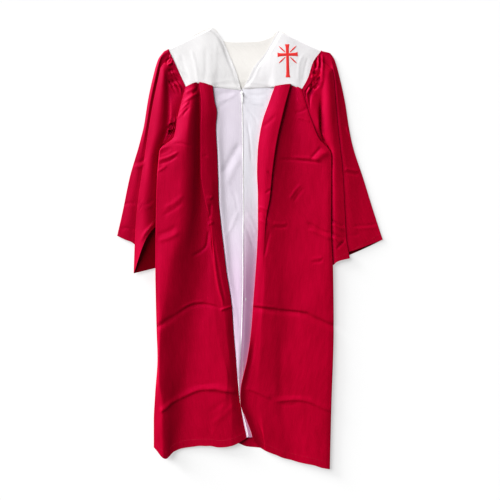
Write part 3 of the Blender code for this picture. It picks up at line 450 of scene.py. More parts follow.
SLUB_SCALE = (420, 22, 1)  # the threads' thick places are drawn out down the cloth
SLUB_NOISE, SLOW_NOISE = (1.0, 3.0), (9.0, 2.0)  # scale and detail of each
SLOW_SHARE, SLUB_RELIEF = 0.5, 0.6  # how strongly the slow changes and the slubs are felt
DARK_UP_TO = 0.45  # shade below which the darker colour is plain
CLOTH_FINISH = {"roughness": 0.6, "spread": 0.06, "strength": 0.35, "depth": 0.00012}
GLOSS_NOISE, GLOSS_DARKER = (60.0, 3.0), 0.93
GLOSS_FINISH = {"spread": 0.08, "strength": 0.1, "depth": 0.00005}
RED_GLINT = (0.6, 0.0, 0.42)
RED_SHINE, WHITE_SHINE, INSIDE_SHINE, TRIM_SHINE = 0.4, 0.2, 0.1, 0.3  # specular levels
STITCH_ROUGH, PLASTIC_ROUGH, ENAMEL_ROUGH = 0.55, 0.4, 0.32

# Creases: height, width, share of the width on the left of the line as drawn, and then the
# line's points as x,drop. Lines that start with # are headings.
STROKES = {
    "front_red_at_left": """
    # Across the knees, pressed in; the line climbs from the side and ends on the strip.
    -2.2 9 0.7: -255,873 -232,856 -215,845 -191,832
    -1.7 7 0.4: -206,838 -183,824 -165,812 -145,803 -113,800 -84,805 -58,818
    0.9 3.5 1: -183,815 -160,802 -133,793 -107,792
    2.0 3.5 1: -67,818 -49,812 -29,806
    # Across the lower half, raised.
    2.6 3.5 2.6: -241,1111 -223,1101 -206,1085 -183,1073
    2.4 3.5 3: -194,1079 -162,1063 -125,1048 -96,1045
    3.2 4.5 2.4: -113,1047 -84,1045 -55,1050 -32,1053 -12,1061
    # Fans out from the underarm.
    2.2 3 1: -246,386 -218,378 -183,361
    -1.8 2.6 1: -244,397 -215,389 -188,373
    1.6 2.6 1: -246,418 -232,410 -218,400
    1.4 2.4 1: -246,360 -232,352 -212,342
    -1.3 2.2 1: -241,368 -223,362 -206,351
    -1.4 2.4 1: -200,336 -177,338 -145,347
    # Pulls below the yoke.
    2.6 4.5 1: -171,218 -151,204 -125,188
    1.8 3.5 1: -168,191 -154,184 -130,174
    -2.0 3.2 1: -145,194 -136,183 -130,168
    1.8 3 1: -180,244 -168,229 -154,215
    1.4 2.4 1: -188,264 -174,246 -160,232
    -1.2 2.4 1: -174,261 -165,246 -151,232
    # Soft, over the flute.
    1.3 6 1: -246,618 -212,609 -180,589
    -1.0 6 1: -246,600 -218,592 -188,574
    1.0 6 1: -229,525 -197,508 -168,484
    -0.9 5 1: -232,545 -200,528 -171,505
    # The tuck that opens out below the strip.
    -2.2 4 1: -99,583 -102,609 -106,632 -122,648 -151,664
    1.7 3.2 1: -94,589 -93,621 -84,676 -75,728 -67,766 -59,795 -57,818
    -1.2 3.2 1: -86,594 -83,624 -74,679 -65,731 -49,800
    2.4 3 1: -104,487 -96,496 -87,487
    -2.4 3.5 1: -93,508 -94,534 -96,554
    2.6 3 1: -102,571 -93,566 -84,563
    -1.6 2.6 1: -116,377 -110,371 -102,374
    # Near the hem.
    0.6 8 1: -96,1148 -61,1125 -20,1085
    -0.5 8 1: -107,1119 -78,1099 -44,1073
""",
    "front_red_at_right": """
    # Across the knees, pressed in, and down to the side.
    -2.8 10 0.3: 9,806 32,809 55,812 107,818 136,821 165,824 188,829
    -3.2 11 0.5: 160,825 183,829 200,838 223,848 246,858 281,870
    0.7 3.5 1: 38,800 61,805 96,809
    # Across the lower half, raised.
    1.5 3.6 3: 0,1044 17,1047 38,1053 61,1064 84,1076
    2.0 3.6 2.8: 84,1083 125,1079 160,1077 183,1080 200,1085 229,1099 270,1116
    -0.5 4 1: 102,1088 130,1093 154,1090
    # Beside the underarm.
    -1.8 2.6 1: 194,383 209,365 228,345
    2.6 9 1: 206,392 229,368 249,360
    -2.0 3 1.3: 96,383 136,383 177,386 212,390 235,393
    1.6 4 1: 142,376 183,378 223,383
    # Soft, over the front.
    1.3 3 1: 133,499 148,476 168,452
    -1.0 3 1: 145,508 160,484 177,464
    -2.0 3.4 1: 183,563 206,576 232,590 258,600
    1.6 3.4 1: 188,583 212,593 258,615
    -1.3 2.4 1: 197,680 215,679 232,673
    1.0 2.4 1: 197,670 215,668 232,664
    1.2 2.6 1: 84,566 104,568 130,568
    -1.4 2.4 1: 84,577 104,579 130,577
    -1.0 4 1: 78,586 70,624 61,667
    1.2 3 1: 154,203 168,220 186,232
    -1.3 2.6 1: 148,246 165,244 186,235
    1.0 3 1: 154,261 174,264 194,273
    # The strip's pinches.
    -1.8 2.6 1: 70,415 81,429 93,438
    -1.6 2.6 1: 64,481 75,473 87,467
    1.6 2.6 1: 44,519 55,522 72,531
    -1.6 2.6 1: 44,531 58,539 70,557
    1.4 2.4 1: 46,557 58,563 72,571
    -1.0 5 1: 55,290 72,278 96,255
    # Slow waves down the skirt.
    -0.9 12 1: 113,876 107,992 116,1166
""",
    "panel_white_at_left": """
    # Full beside the red front.
    2.6 3.2 3.4: -78,215 -71,246 -74,290 -70,372 -68,430 -66,499 -60,563 -51,640 -44,701 -28,808 \
        -23,880 -16,956 -8,1060
    -0.59 3 1: -84,200 -58,191 -26,186
    0.63 3 1: -81,218 -49,207 -14,188
    -0.59 3 1: -78,238 -61,226 -41,212
    0.54 3 1: -87,183 -61,177 -32,174
    -1.5 11 0.8: -61,429 -38,383 -6,331
    0.8 9 1: -49,458 -29,412 -9,377
    -0.54 5 1: -32,470 -20,499 -14,539
    0.54 5 1: -55,615 -32,574 -12,522
    -0.41 3 1: -46,740 -32,745 -14,757
    0.45 4 1: -38,789 -20,818 -14,876
""",
    "panel_white_at_right": """
    -0.59 3 1: 12,191 38,197 67,194
    0.63 3 1: 9,206 32,218 61,220
    -0.54 3 1: 9,232 26,249 44,278
    -0.54 4 1: 12,267 20,325 26,397
    0.54 5 1: 9,534 26,563 41,603
    -0.54 5 1: 3,563 17,597 32,644
    -0.59 3.5 1: -6,777 12,789 29,800
    0.54 4 1: -6,798 12,809 26,821
""",
    "yoke_front_at_left": """
    0.42 5 1: -151,58 -139,104 -128,162
    -0.36 6 1: -107,52 -107,110 -113,162
    -0.3 5 1: -180,70 -171,110 -154,157
    0.3 5 1: -194,75 -188,110 -174,151
    0.27 6 1: -78,35 -78,93 -84,145
    0.33 2.4 1: -102,162 -61,155 -12,148
    -0.33 2.2 1: -102,171 -58,164 -9,162
""",
    "yoke_front_at_right": """
    0.33 2.4 1: 6,151 38,160 87,165
    -0.33 2.2 1: 6,162 38,168 84,174
    0.39 4.5 1: 177,70 162,110 160,162
    -0.39 4 1: 191,81 180,116 174,162
    -0.3 6 1: 67,70 55,104 44,145
    0.27 6 1: 90,35 78,81 72,151
""",
    "sleeve_at_left": """
    -1.2 4 1: -319,389 -302,390 -281,377
    1.2 4 1: -319,403 -302,403 -284,394
    -1.0 3.5 1: -307,502 -284,510 -258,502
    1.0 3.5 1: -307,516 -284,522 -258,516
    -1.0 4 1: -351,516 -331,508 -310,510
    2.2 5 1: -293,612 -276,589 -252,563
    -1.0 3 1: -357,583 -336,580 -313,589
""",
    "sleeve_at_right": """
    1.8 2.2 1: 293,409 313,412 336,418
    -1.6 2.6 1: 290,418 313,422 336,426
    -2.0 2.4 1: 252,554 273,567 296,577
    1.8 2.4 1: 252,566 273,579 293,589
    -2.2 2.4 1: 252,592 273,603 296,613
    2.0 2.6 1: 252,603 270,615 287,624
    -2.2 2.4 1: 296,613 284,626 270,641
    -0.9 2.6 1: 316,574 351,573 392,568
    0.8 2.6 1: 316,583 351,581 392,579
    -0.8 2.6 1: 302,597 319,602 339,597
    1.6 3 1: 299,287 304,299 313,316
    -4.2 3.2 1: 225,220 225,273 229,336
""",
    "back_panel": """
    # Pressed-in folds of the layer that lies on the table.
    0.9 5 1: -212,940 -165,914 -110,899 -61,908
    0.9 4 2: -194,1082 -148,1067 -90,1070 -49,1085
    0.8 5 0.6: 55,876 107,867 157,882 218,908
    0.9 4 2: 78,1056 130,1038 183,1047
    0.7 4 1: -154,354 -125,392 -110,447
    0.7 4 1: 55,325 72,377 67,435
    0.6 6 1: -136,592 -90,615 -49,655
    0.6 6 1: 55,679 78,644 90,592
""",
}
HEAD_STROKES = {  # the puckers where the sleeves are gathered in
    "sleeve_at_left": """
    -6.0 3.0 1: -216,161 -203,155 -186,149
    5.0 2.8 1: -215,171 -203,167 -183,162
    -2.9 2.2 1: -212,169 -197,169 -180,168
    4.5 2.6 1: -212,179 -194,176 -174,176
    -4.6 2.8 1: -223,104 -218,93 -210,87
    3.8 2.6 1: -218,110 -209,104 -203,103
    -4.0 2.6 1: -215,128 -206,122 -197,122
    3.8 2.6 1: -215,138 -204,132 -194,132
    2.9 2.4 1: -220,281 -206,276 -188,270
    -3.5 2.4 1: -220,290 -206,286 -191,281
    2.9 2.2 1: -220,299 -206,296 -194,290
    -3.2 2.2 1: -218,307 -206,304 -197,299
""",
    "sleeve_at_right": """
    -5.0 3 1: 212,87 212,104 210,122
    3.4 2.6 1: 218,87 219,99 219,116
    -7.5 3.6 1: 202,129 212,133 222,141
    5.5 3.8 1: 197,141 207,142 218,149
    -3.5 3 1: 200,152 209,151 216,157
    3.0 3 1: 194,158 203,158 215,162
    -7.5 3.6 1: 191,164 203,168 218,174
    4.5 3.8 1: 178,175 186,174 197,177
    -5.0 3 1: 177,187 187,186 197,181
    -3.4 4 1: 197,177 194,200 191,226
    2.6 3 1: 229,72 231,99 228,139 226,180
    -2.9 3 1: 223,81 223,116 222,162
""",
}
BACK_STROKES = {  # on the sleeves' hidden layer
    "sleeve_at_left": """
    0.6 3 1: -310,429 -278,444 -246,435
    0.6 4 1: -328,539 -299,519 -264,522
    0.5 3 1: -223,267 -206,278 -191,273
""",
    "sleeve_at_right": """
    0.6 3 1: 287,447 316,435 345,444
    0.6 4 1: 293,568 322,583 357,574
    0.5 3 1: 229,267 246,281 261,273
""",
}

# The zip's teeth, in turn on either side of the middle: where they start and end, how far they
# are raised and set to the side, and the length, breadth and height of each.
TEETH_TOP, TEETH_END, TEETH_LIFT, TEETH_SIDE = 180, 1183, -0.1, 0.45
TEETH_SIZE, TEETH_PITCH = (1.0, 1.9, 1.0), 1.5
TEETH_LEVELS = ((0, 1), (0.7, 1), (1, 0.7))  # a tooth's share of its size at shares of its height
TAPE_WIDTH, TAPE_THICK = 20, 0.8
TAPE_TOP, TAPE_END, TAPE_ROWS, TAPE_COLUMNS = 178, 1184, 160, 9
TAPE_BELOW = 0.7  # how far the tape lies below the panels
SLIDER_SIZE = (6.4, 12, 1.4)
SLIDER_GAP = 0.5  # between the panels and the slider
SLIDER_LEVELS = ((0, 1.0), (0.35, 1.06), (0.75, 1.0), (1.0, 0.72))  # its share of its size at
# shares of its height
SLIDER_SQUARE = (0.6, 0.75)  # powers that square its outline across and along
SLIDER_WAIST, SLIDER_NOSE = (0.16, -1, 2.6), (0.12, 3)  # how much narrower its waist is, where and
# over what length; and how much narrower its nose is, and where that starts
SLIDER_TRIM = 0.94  # share of its size that its outline has
BRIDGE_WIDTH, BRIDGE_WIRE, BRIDGE_HOLE, BRIDGE_SUNK = 1.6, 0.9, (3.2, 3.0), 0.3
TAB_SIZE = (5.6, 27, 0.8)
TAB_BAR, TAB_INNER, TAB_WINDOW = 0.6, 2.4, 4.4
TAB_CORNER, TAB_INNER_CORNER, TAB_BEVEL = 2.2, 0.7, 0.25
CORNER_POINTS = 7
TAB_REST_TILT = math.radians(4)

# The embroidered emblem, a plain cross among rays: each bar's start and end, and its widths.
EMBLEM = (
    ((128, 48), (130, 144), ((0, 13), (0.12, 9), (0.5, 8), (0.9, 9.5), (1, 14))),
    ((100, 79), (158, 77), ((0, 13), (0.14, 9), (0.5, 8), (0.86, 9), (1, 13))),
    ((122, 71), (104, 54), ((0, 2.5), (0.6, 4), (1, 1.2))),
    ((136, 71), (154, 53), ((0, 2.5), (0.6, 4), (1, 1.2))),
    ((122, 86), (104, 103), ((0, 2.5), (0.6, 4), (1, 1.2))),
    ((137, 86), (156, 104), ((0, 2.5), (0.6, 4), (1, 1.2))),
)

# The stitches in a row: how far apart they are, and their length, width and height.
STITCH_PITCH, STITCH_SIZE = 3.2, (2.6, 0.7, 0.35)
STITCH_RINGS = ((-1, 0.25, 0.1), (-0.6, 1, 0.8), (0, 1, 1), (0.6, 1, 0.8), (1, 0.25, 0.1))
STITCH_SUNK = 0.1
ABOVE_ALL = 200.0  # a height over the whole robe
# The emblem's satin stitch: its height, how deep it goes in, its height at the edges as a share,
# the spacing of its rows, and the points across each.
SATIN_LIFT, SATIN_SUNK, SATIN_EDGE, SATIN_PITCH, SATIN_ACROSS = 0.5, 0.2, 0.35, 1.5, 7

# The floor's colour and glow, the pale surroundings' strength, and the camera overhead.
FLOOR_Z, FLOOR_REACH, FLOOR_COLOUR, FLOOR_GLOW = -0.0002, 40, (0.36, 0.36, 0.36), 0.44
FILL, LAMP_FAR = 0.19, 3
LIGHTS = (  # each one's name, azimuth, elevation, strength and spread
    ("window", 145, 38, 3.45, 45),
    ("low_window", 142, 9, 5.2, 18),
)
LOOK = "Medium High Contrast"
LENS, VIEW_X, VIEW_Y, EYE_Z = 70, 0.00015, -0.005, 2.82

SLOTS = {
    "front_red": "red polyester",
    "sleeve": "red polyester",
    "back_panel": "red polyester",
    "yoke_front": "white polyester",
    "yoke_back": "off-white polyester",
    "panel_white": "white polyester",
}
# The flat cut of each piece as it shows: its size, area, how it is held and what it lies on.
SHEETS = {
    "front_red_at_left": ((0.375, 1.10), 0.286, "folded", ["back_panel", "panel_white_at_left"]),
    "front_red_at_right": ((0.36, 1.12), 0.307, "folded", ["back_panel", "panel_white_at_right"]),
    "panel_white_at_left": ((0.10, 1.03), 0.064, "laid", ["back_panel"]),
    "panel_white_at_right": ((0.11, 1.035), 0.054, "laid", ["back_panel"]),
    "yoke_front_at_left": ((0.215, 0.185), 0.0245, "laid", ["yoke_back"]),
    "yoke_front_at_right": ((0.23, 0.185), 0.023, "laid", ["yoke_back"]),
    "yoke_back": ((0.46, 0.185), 0.06, "laid", []),
    "back_panel": ((0.54, 1.12), 0.512, "folded", []),
    "sleeve_at_left": ((0.65, 0.65), 0.161, "folded", []),
    "sleeve_at_right": ((0.69, 0.62), 0.187, "folded", []),
}


def smooth(xs, ys, x):
    """A curve through the points that never swings past them, held level beyond its ends."""
    xs, ys = np.asarray(xs, float), np.asarray(ys, float)
    step = np.diff(xs)
    slope = np.diff(ys) / step
    tangent = np.zeros(len(xs))
    tangent[0], tangent[-1] = slope[0], slope[-1]
    same_way = slope[:-1] * slope[1:] > 0
    mean = 2 * slope[:-1] * slope[1:] / np.where(same_way, slope[:-1] + slope[1:], 1)
    tangent[1:-1] = np.where(same_way, mean, 0)
    x = np.clip(x, xs[0], xs[-1])
    i = np.clip(np.searchsorted(xs, x, side="right") - 1, 0, len(step) - 1)
    t = (x - xs[i]) / step[i]
    held = (1 + 2 * t) * (1 - t) ** 2 * ys[i] + t**2 * (3 - 2 * t) * ys[i + 1]
    return held + step[i] * (t * (1 - t) ** 2 * tangent[i] - t**2 * (1 - t) * tangent[i + 1])


def columns(names, table, drop):
    """Each named column of a table, read at the drops asked for."""
    rows = np.array(table, float)
    return {name: smooth(rows[:, 0], rows[:, i], drop) for i, name in enumerate(names.split())}


def line(points, at):
    """The second coordinate of a line of points, read at values of the first."""
    xs, ys = zip(*points)
    return smooth(xs, ys, at)


def along(points, share):
    """Points at shares of the length of a smooth curve through the points given."""
    points = np.array(points, float)
    reach = np.concatenate([[0], np.cumsum(np.linalg.norm(np.diff(points, axis=0), axis=1))])
    return np.stack([smooth(reach / reach[-1], points[:, i], share) for i in (0, 1)], axis=-1)


def spaced(count, closer):
    """Shares from 0 to 1, set closer together by the factors given at some of them."""
    fine = np.linspace(0, 1, 2001)
    shares, factors = zip(*closer)
    reach = np.cumsum(np.interp(fine, shares, factors))
    return np.interp(np.linspace(0, 1, count), (reach - reach[0]) / (reach[-1] - reach[0]), fine)


def ease(start, end, value):
    """Rises smoothly from 0 at start to 1 at end."""
    t = np.clip((value - start) / (end - start), 0, 1)
    return t * t * (3 - 2 * t)


def hairpin(edge, z_in, z_out, reach):
    """Four guide points of a fold whose edge is at `edge`, the cloth coming in at z_in."""
    return [(edge + reach, z_in), (edge, z_in), (edge, z_out), (edge + reach, z_out)]


def front_guides(side, drop):
    """Guide points of a front's section at each drop, from the white seam out to the side."""
    pleat = columns(PLEAT_COLUMNS, PLEAT[side], drop)
    flute = columns(FLUTE_COLUMNS, FLUTE[side], drop)
    roll = columns(ROLL_COLUMNS, ROLL, drop - ARM_LOWER[side])
    edge = columns(SIDE_COLUMNS, SIDE[side], drop)["out"]
    under = WHITE_Z + CLOTH + UNDER_GAP
    inner, strip = pleat["inner"], pleat["strip"]
    top, opened = pleat["strip_z"], pleat["opened"]
    crown = line(STRIP_CROWN[side], drop)
    guides = [(inner + SEAM_HIDE, under + 0 * drop)]
    flatter, flat_from, flat_to = FLATTER_TURN
    bend = FOLD_TURN if side == LEFT else FOLD_TURN - flatter * ease(flat_from, flat_to, drop)
    reach = np.minimum((pleat["inner_z"] - under) / 2, bend)
    guides += hairpin(inner, under, pleat["inner_z"], reach)
    guides.append(((inner + strip) / 2, (pleat["inner_z"] + top) / 2 + crown))
    # The second fold is a Z of three layers, which opens into a plain slope further down.
    low = flute["shoulder_z"]
    middle = (top + low) / 2
    reach = (top - low) / 4
    tuck = np.minimum(TUCK_DEPTH, (strip - inner) / 2)
    folded = hairpin(strip, top, middle, -reach) + hairpin(strip - tuck, middle, low, reach)
    for i, (out, z) in enumerate(folded):
        share = i / (len(folded) - 1)
        open_out = strip - STRIP_BEND + share * (flute["shoulder"] - strip - STRIP_BEND)
        open_z = top + share * (flute["shoulder_z"] - top)
        guides.append((out + opened * (open_out - out), z + opened * (open_z - z)))
    guides += [(flute[part], flute[part + "_z"])
               for part in ("shoulder", "foot", "valley", "crest", "fall")]
    depth = ROLL_DEPTH + HEAD_ROLL * (1 - ease(*ROLL_THINS, drop))
    low = np.clip(roll["low"], flute["edge_z"] - depth, flute["edge_z"] - LEAST_ROLL)
    reach = np.minimum((flute["edge_z"] - low) / 2, roll["turn"] / 2)
    guides += hairpin(edge, flute["edge_z"], low, -reach)
    flat = [roll["seam_z"] + SEAM_LAP * share for share in (0, 0, 1, 1)]
    guides += [(edge - share * roll["turn"], z) for share, z in zip(SEAM_TURN, flat)]
    return guides


def back_guides(drop):
    """Guide points of the back panel's section, from its -X edge to its +X edge."""
    halves = {}
    for side in (LEFT, RIGHT):
        roll = columns(ROLL_COLUMNS, ROLL, drop - ARM_LOWER[side])
        below = ease(*UNDER_ARM, drop - ARM_LOWER[side])
        edge_z = TABLE_Z + below * (roll["seam_z"] - TABLE_Z)
        edge = columns(SIDE_COLUMNS, SIDE[side], drop)["out"]
        lap = BACK_LAP * roll["turn"] - BACK_IN + UNDER_ARM_IN * (1 - below)
        edge = edge - BACK_IN - below * lap
        fold, tuck = BACK_PLEAT, BACK_PLEAT - BACK_TUCK
        low, mid, high = TABLE_Z, TABLE_Z + PLEAT_LAYER, TABLE_Z + 2 * PLEAT_LAYER
        guides = [(0.5 * fold, low)]
        guides += hairpin(fold, low, mid, -PLEAT_LAYER / 2)
        guides += hairpin(tuck, mid, high, PLEAT_LAYER / 2)
        guides += [(fold + BACK_SETTLE[0], high), (fold + BACK_SETTLE[1], low)]
        rise = np.maximum(edge - BACK_RISE[0], fold + BACK_SETTLE[2])
        risen = rise + BACK_RISE[0] - BACK_RISE[1]
        guides += [(np.minimum(rise, edge - 2), low), (np.minimum(risen, edge - 1), edge_z),
                   (edge, edge_z)]
        halves[side] = [(side * (out + 0 * drop), z + 0 * drop) for out, z in guides]
    return halves[LEFT][::-1] + halves[RIGHT]


def coons(top, bottom, start, end, u, v):
    """A patch between four edge curves, each given as a function of its share."""
    u, v = np.meshgrid(u, v)
    first, last = 0 * u, 0 * u + 1
    flat = ((1 - v)[..., None] * top(u) + v[..., None] * bottom(u)
            + (1 - u)[..., None] * start(v) + u[..., None] * end(v))
    corners = ((1 - u) * (1 - v))[..., None] * top(first) + (u * (1 - v))[..., None] * top(last)
    corners += ((1 - u) * v)[..., None] * bottom(first) + (u * v)[..., None] * bottom(last)
    return flat - corners, u, v


def sleeve_guides(side, drop):
    """Guide points round the folded sleeve, from under the arm out and back over the top."""
    at = sleeve_at(side, drop)
    table, first, second, third = LAYER_Z
    outer, ridge, inner, valley = at["outer"], at["ridge"], at["inner"], at["valley"]
    front_z = at["front_z"]
    inner_reach = np.minimum((front_z - table) / 2, INNER_TURN)
    inner_z = front_z + ease(*TUCK_UNDER, drop) * (third - front_z)
    inner_fold = hairpin(inner, inner_z, table, inner_reach)
    tilt = FRONT_TILT[side]
    return {
        "inner_low": inner_fold[2:],
        "back": [(inner + share * (outer - inner), table) for share in FLAT_SHARES],
        "outer": hairpin(outer, table, table + OUTER_FOLD, -OUTER_FOLD / 2),
        "lobe": [((outer + ridge) / 2, at["lobe_z"])],
        "foot": [(ridge + np.minimum(FOOT_REACH, (outer - ridge) / 4), at["foot_z"])],
        "hidden": hairpin(at["hidden"], first, second, (second - first) / 2),
        "ridge": hairpin(ridge, at["ridge_z"] - RIDGE_FOLD, at["ridge_z"], -RIDGE_FOLD / 2),
        "crest": [(ridge - line(CREST_SHARE[side], drop) * (ridge - valley), at["crest_z"])],
        "valley": [(valley, at["valley_z"])],
        "front": [(valley + share * (inner - valley), inner_z * (1 + tilt * (0.5 - share)))
                  for share in FLAT_SHARES],
        "inner_high": inner_fold[:2],
    }


def sleeve_at(side, drop):
    return columns(SLEEVE_COLUMNS, SLEEVE[side], drop)


def seam_end(side):
    """The drop at which the side seam ends at the hem."""
    return line(HEM[side], SIDE[side][-1][1] - ROLL[-1][-1])


def armhole_points(side, share):
    """Points on the yoke's armhole edge, from the shoulder down to the corner."""
    top, bottom = YOKE_ARMHOLE[side][0][1], YOKE_ARMHOLE[side][-1][1]
    drop = top + share * (bottom - top)
    return np.stack([armhole(side, drop, 0), drop], axis=-1)


def armhole_stations(side):
    """The drops on the armhole where the body has its sections, and one on the yoke's edge."""
    top = SIDE[side][0][0]
    corners = top + (seam_end(side) - top) * np.array(ARMHOLE_ROWS)
    return np.concatenate([[top - YOKE_STATION], corners])


def armhole(side, drop, below):
    """Distance out of the armhole seam at each drop, along the yoke and then the front, and
    under the arm the distances given."""
    stations = armhole_stations(side)[1:]
    lower = np.interp(drop, stations, columns(SIDE_COLUMNS, SIDE[side], stations)["out"])
    upper = line([(d, out) for out, d in YOKE_ARMHOLE[side]], drop)
    return np.where(drop < stations[0], upper, np.where(drop <= stations[-1], lower, below))


# ---------------------------------------------------------------- shells


def spline_samples(guides, closed=False):
    """Weights of a quadratic B-spline over guide points, a sample about every COLUMN_STEP.

    `guides` holds the guide points of a few sections, which set how many samples a span gets.
    """
    count = guides.shape[1]
    order = list(range(count)) if closed else [0, *range(count), count - 1]
    spans = len(order) if closed else len(order) - 2
    rows = []
    for span in range(spans):
        trio = [order[(span + i) % len(order)] for i in range(3)]
        ends = guides[:, trio]
        reach = np.linalg.norm(np.diff(ends, axis=1), axis=2).sum(axis=1).max() / 2
        pieces = max(LEAST_SAMPLES, math.ceil(reach / COLUMN_STEP))
        for t in np.arange(pieces) / pieces:
            row = np.zeros(count)
            for guide, weight in zip(trio, ((1 - t) ** 2 / 2, 0.5 + t - t * t, t * t / 2)):
                row[guide] += weight
            rows.append(row)
    if not closed:
        rows.append(np.eye(count)[-1])
    return np.array(rows)


def blend_guides(weights, guides):
    """The spline through guide lines, as arrays of its two coordinates."""
    return [sum(weights[:, k] * guide[i] for k, guide in enumerate(guides)) for i in (0, 1)]


def typical_guides(guides_at, drops):
    """The guide points of a few sections, as numbers."""
    return np.array([[[float(v) for v in guide] for guide in guides_at(np.float64(drop))]
                     for drop in drops])


def add_object(name, data):
    made = bpy.data.objects.new(name, data)
    bpy.context.scene.collection.objects.link(made)
    return made


def place(x, drop, z):
    """World points in metres from places on the robe in millimetres."""
    point = np.stack(np.broadcast_arrays(x - FOOTPRINT_OUT, FOOTPRINT_DROP - drop, z), axis=-1)
    return point * MM


def add_mesh(name, points, faces, finish, uvs):
    """A mesh of the points and faces given, smooth but for its sharp edges."""
    mesh = bpy.data.meshes.new(name)
    mesh.from_pydata(np.asarray(points).tolist(), [], faces)
    mesh.materials.append(finish)
    layer = mesh.uv_layers.new(name="UVMap")
    corners = np.zeros(len(mesh.loops), np.int32)
    mesh.loops.foreach_get("vertex_index", corners)
    layer.data.foreach_set("uv", np.asarray(uvs)[corners].astype(np.float32).ravel())
    made = add_object(name, mesh)
    mesh.shade_smooth()
    mesh.set_sharp_from_angle(angle=SHARP_FROM)
    return made


def tube(count, rings, base=0):
    """Faces of a capped tube of rings of `count` points each, the first point numbered `base`."""
    faces = []
    for ring in range(rings - 1):
        for k in range(count):
            a, b = base + ring * count + k, base + ring * count + (k + 1) % count
            faces.append((a, b, b + count, a + count))
    last = base + count * (rings - 1)
    return faces + [tuple(base + k for k in reversed(range(count))),
                    tuple(last + k for k in range(count))]


def joined(parts):
    """Points and faces of several parts as one, with the corners as plain numbers."""
    points, faces = [], []
    for more, more_faces in parts:
        faces += [tuple(i + len(points) for i in face) for face in more_faces]
        points += more
    return [tuple(point) for point in points], faces


def shell(name, grid, finish, thick=SHELL, closed=False, wrong_side_shaded=None):
    """A thin closed shell of cloth whose middle runs through a grid of places on the robe."""
    grid = place(grid[..., 0], grid[..., 1], grid[..., 2])
    across = np.roll(grid, -1, 1) - np.roll(grid, 1, 1) if closed else np.gradient(grid, axis=1)
    normal = np.cross(across, np.gradient(grid, axis=0))
    normal /= np.maximum(np.linalg.norm(normal, axis=-1, keepdims=True), 1e-12)
    count, cols = grid.shape[:2]
    layer = count * cols
    half = thick / 2 * MM
    points = np.concatenate([(grid + normal * half).reshape(-1, 3),
                             (grid - normal * half).reshape(-1, 3)])
    run = np.cumsum(np.linalg.norm(np.diff(grid, axis=1, prepend=grid[:, :1]), axis=2), axis=1)
    fall = np.cumsum(np.linalg.norm(np.diff(grid, axis=0, prepend=grid[:1]), axis=2), axis=0)
    uvs = np.stack([run, -fall], axis=-1).reshape(-1, 2)
    index = np.arange(layer).reshape(count, cols)
    if closed:
        index = np.concatenate([index, index[:, :1]], axis=1)
    a, b, c, d = index[:-1, :-1], index[:-1, 1:], index[1:, 1:], index[1:, :-1]
    top = np.stack([a, b, c, d], axis=-1).reshape(-1, 4)
    under = top[:, ::-1] + layer
    rims = [index[0, ::-1], index[-1]]
    if not closed:
        rims += [index[:, 0], index[::-1, -1]]
    sides = [np.stack([rim[:-1] + layer, rim[1:] + layer, rim[1:], rim[:-1]], axis=-1)
             for rim in rims]
    faces = np.concatenate([top, under, *sides])
    p, q, r, s = (points[faces[:, i]] for i in range(4))
    volume = np.einsum("ij,ij->", p, np.cross(q, r) + np.cross(r, s))
    if volume < 0:
        faces = faces[:, ::-1]
    made = add_mesh("cloth_" + name, points, faces.tolist(), finish, np.concatenate([uvs, uvs]))
    # The inner faces get the duller wrong side's colour with painted shade.
    if wrong_side_shaded:
        made.data.materials.append(wrong_side_shaded)
        outward = (normal * (grid - grid.mean(axis=1, keepdims=True))).sum() > 0
        first = len(top) if outward else 0
        for face in made.data.polygons[first:first + len(top)]:
            face.material_index = 1
    return made


# ---------------------------------------------------------------- creases


def curve_through(points, step=CREASE_STEP):
    """A smooth line of points about `step` apart through the points given."""
    points = np.array(points, float)
    if len(points) == 2:
        count = 2 + int(np.linalg.norm(points[1] - points[0]) / step)
        return points[0] + np.linspace(0, 1, count)[:, None] * (points[1] - points[0])
    reach = np.linalg.norm(np.diff(points, axis=0), axis=1).sum()
    return along(points, np.linspace(0, 1, 2 + int(reach / step)))


def stroke(x, drop, points, width, sharp):
    """How strongly a crease is felt at each place: 1 on its line, 0 far off or past its ends.

    `sharp` is the share of the width on the left of the line as it is drawn, so that a crease
    can fall off steeply there.
    """
    path = curve_through(points)
    near = np.full(x.shape, np.inf)
    side_of = np.zeros(x.shape)
    reach = np.zeros(x.shape)
    total = np.linalg.norm(np.diff(path, axis=0), axis=1)
    travelled = np.concatenate([[0], np.cumsum(total)])
    for i, ((x0, d0), (x1, d1)) in enumerate(zip(path[:-1], path[1:])):
        t = np.clip(((x - x0) * (x1 - x0) + (drop - d0) * (d1 - d0)) / total[i] ** 2, 0, 1)
        off = np.hypot(x - x0 - t * (x1 - x0), drop - d0 - t * (d1 - d0))
        closer = off < near
        near = np.where(closer, off, near)
        side_of = np.where(closer, (x1 - x0) * (drop - d0) - (d1 - d0) * (x - x0), side_of)
        reach = np.where(closer, travelled[i] + t * total[i], reach)
    share = reach / travelled[-1]
    fade = ease(0, CREASE_FADE, share) * ease(1, 1 - CREASE_FADE, share)
    wide = np.where(side_of < 0, width * sharp, width)
    return fade * np.exp(-(near / wide) ** 2)


def strokes_of(text):
    """Each line's height, width, sharpness and points, from a text of creases with headings."""
    for row in text.splitlines():
        if ":" in row:
            shape, places = row.split(":")
            points = [tuple(float(word) for word in pair.split(",")) for pair in places.split()]
            yield *(float(word) for word in shape.split()), points


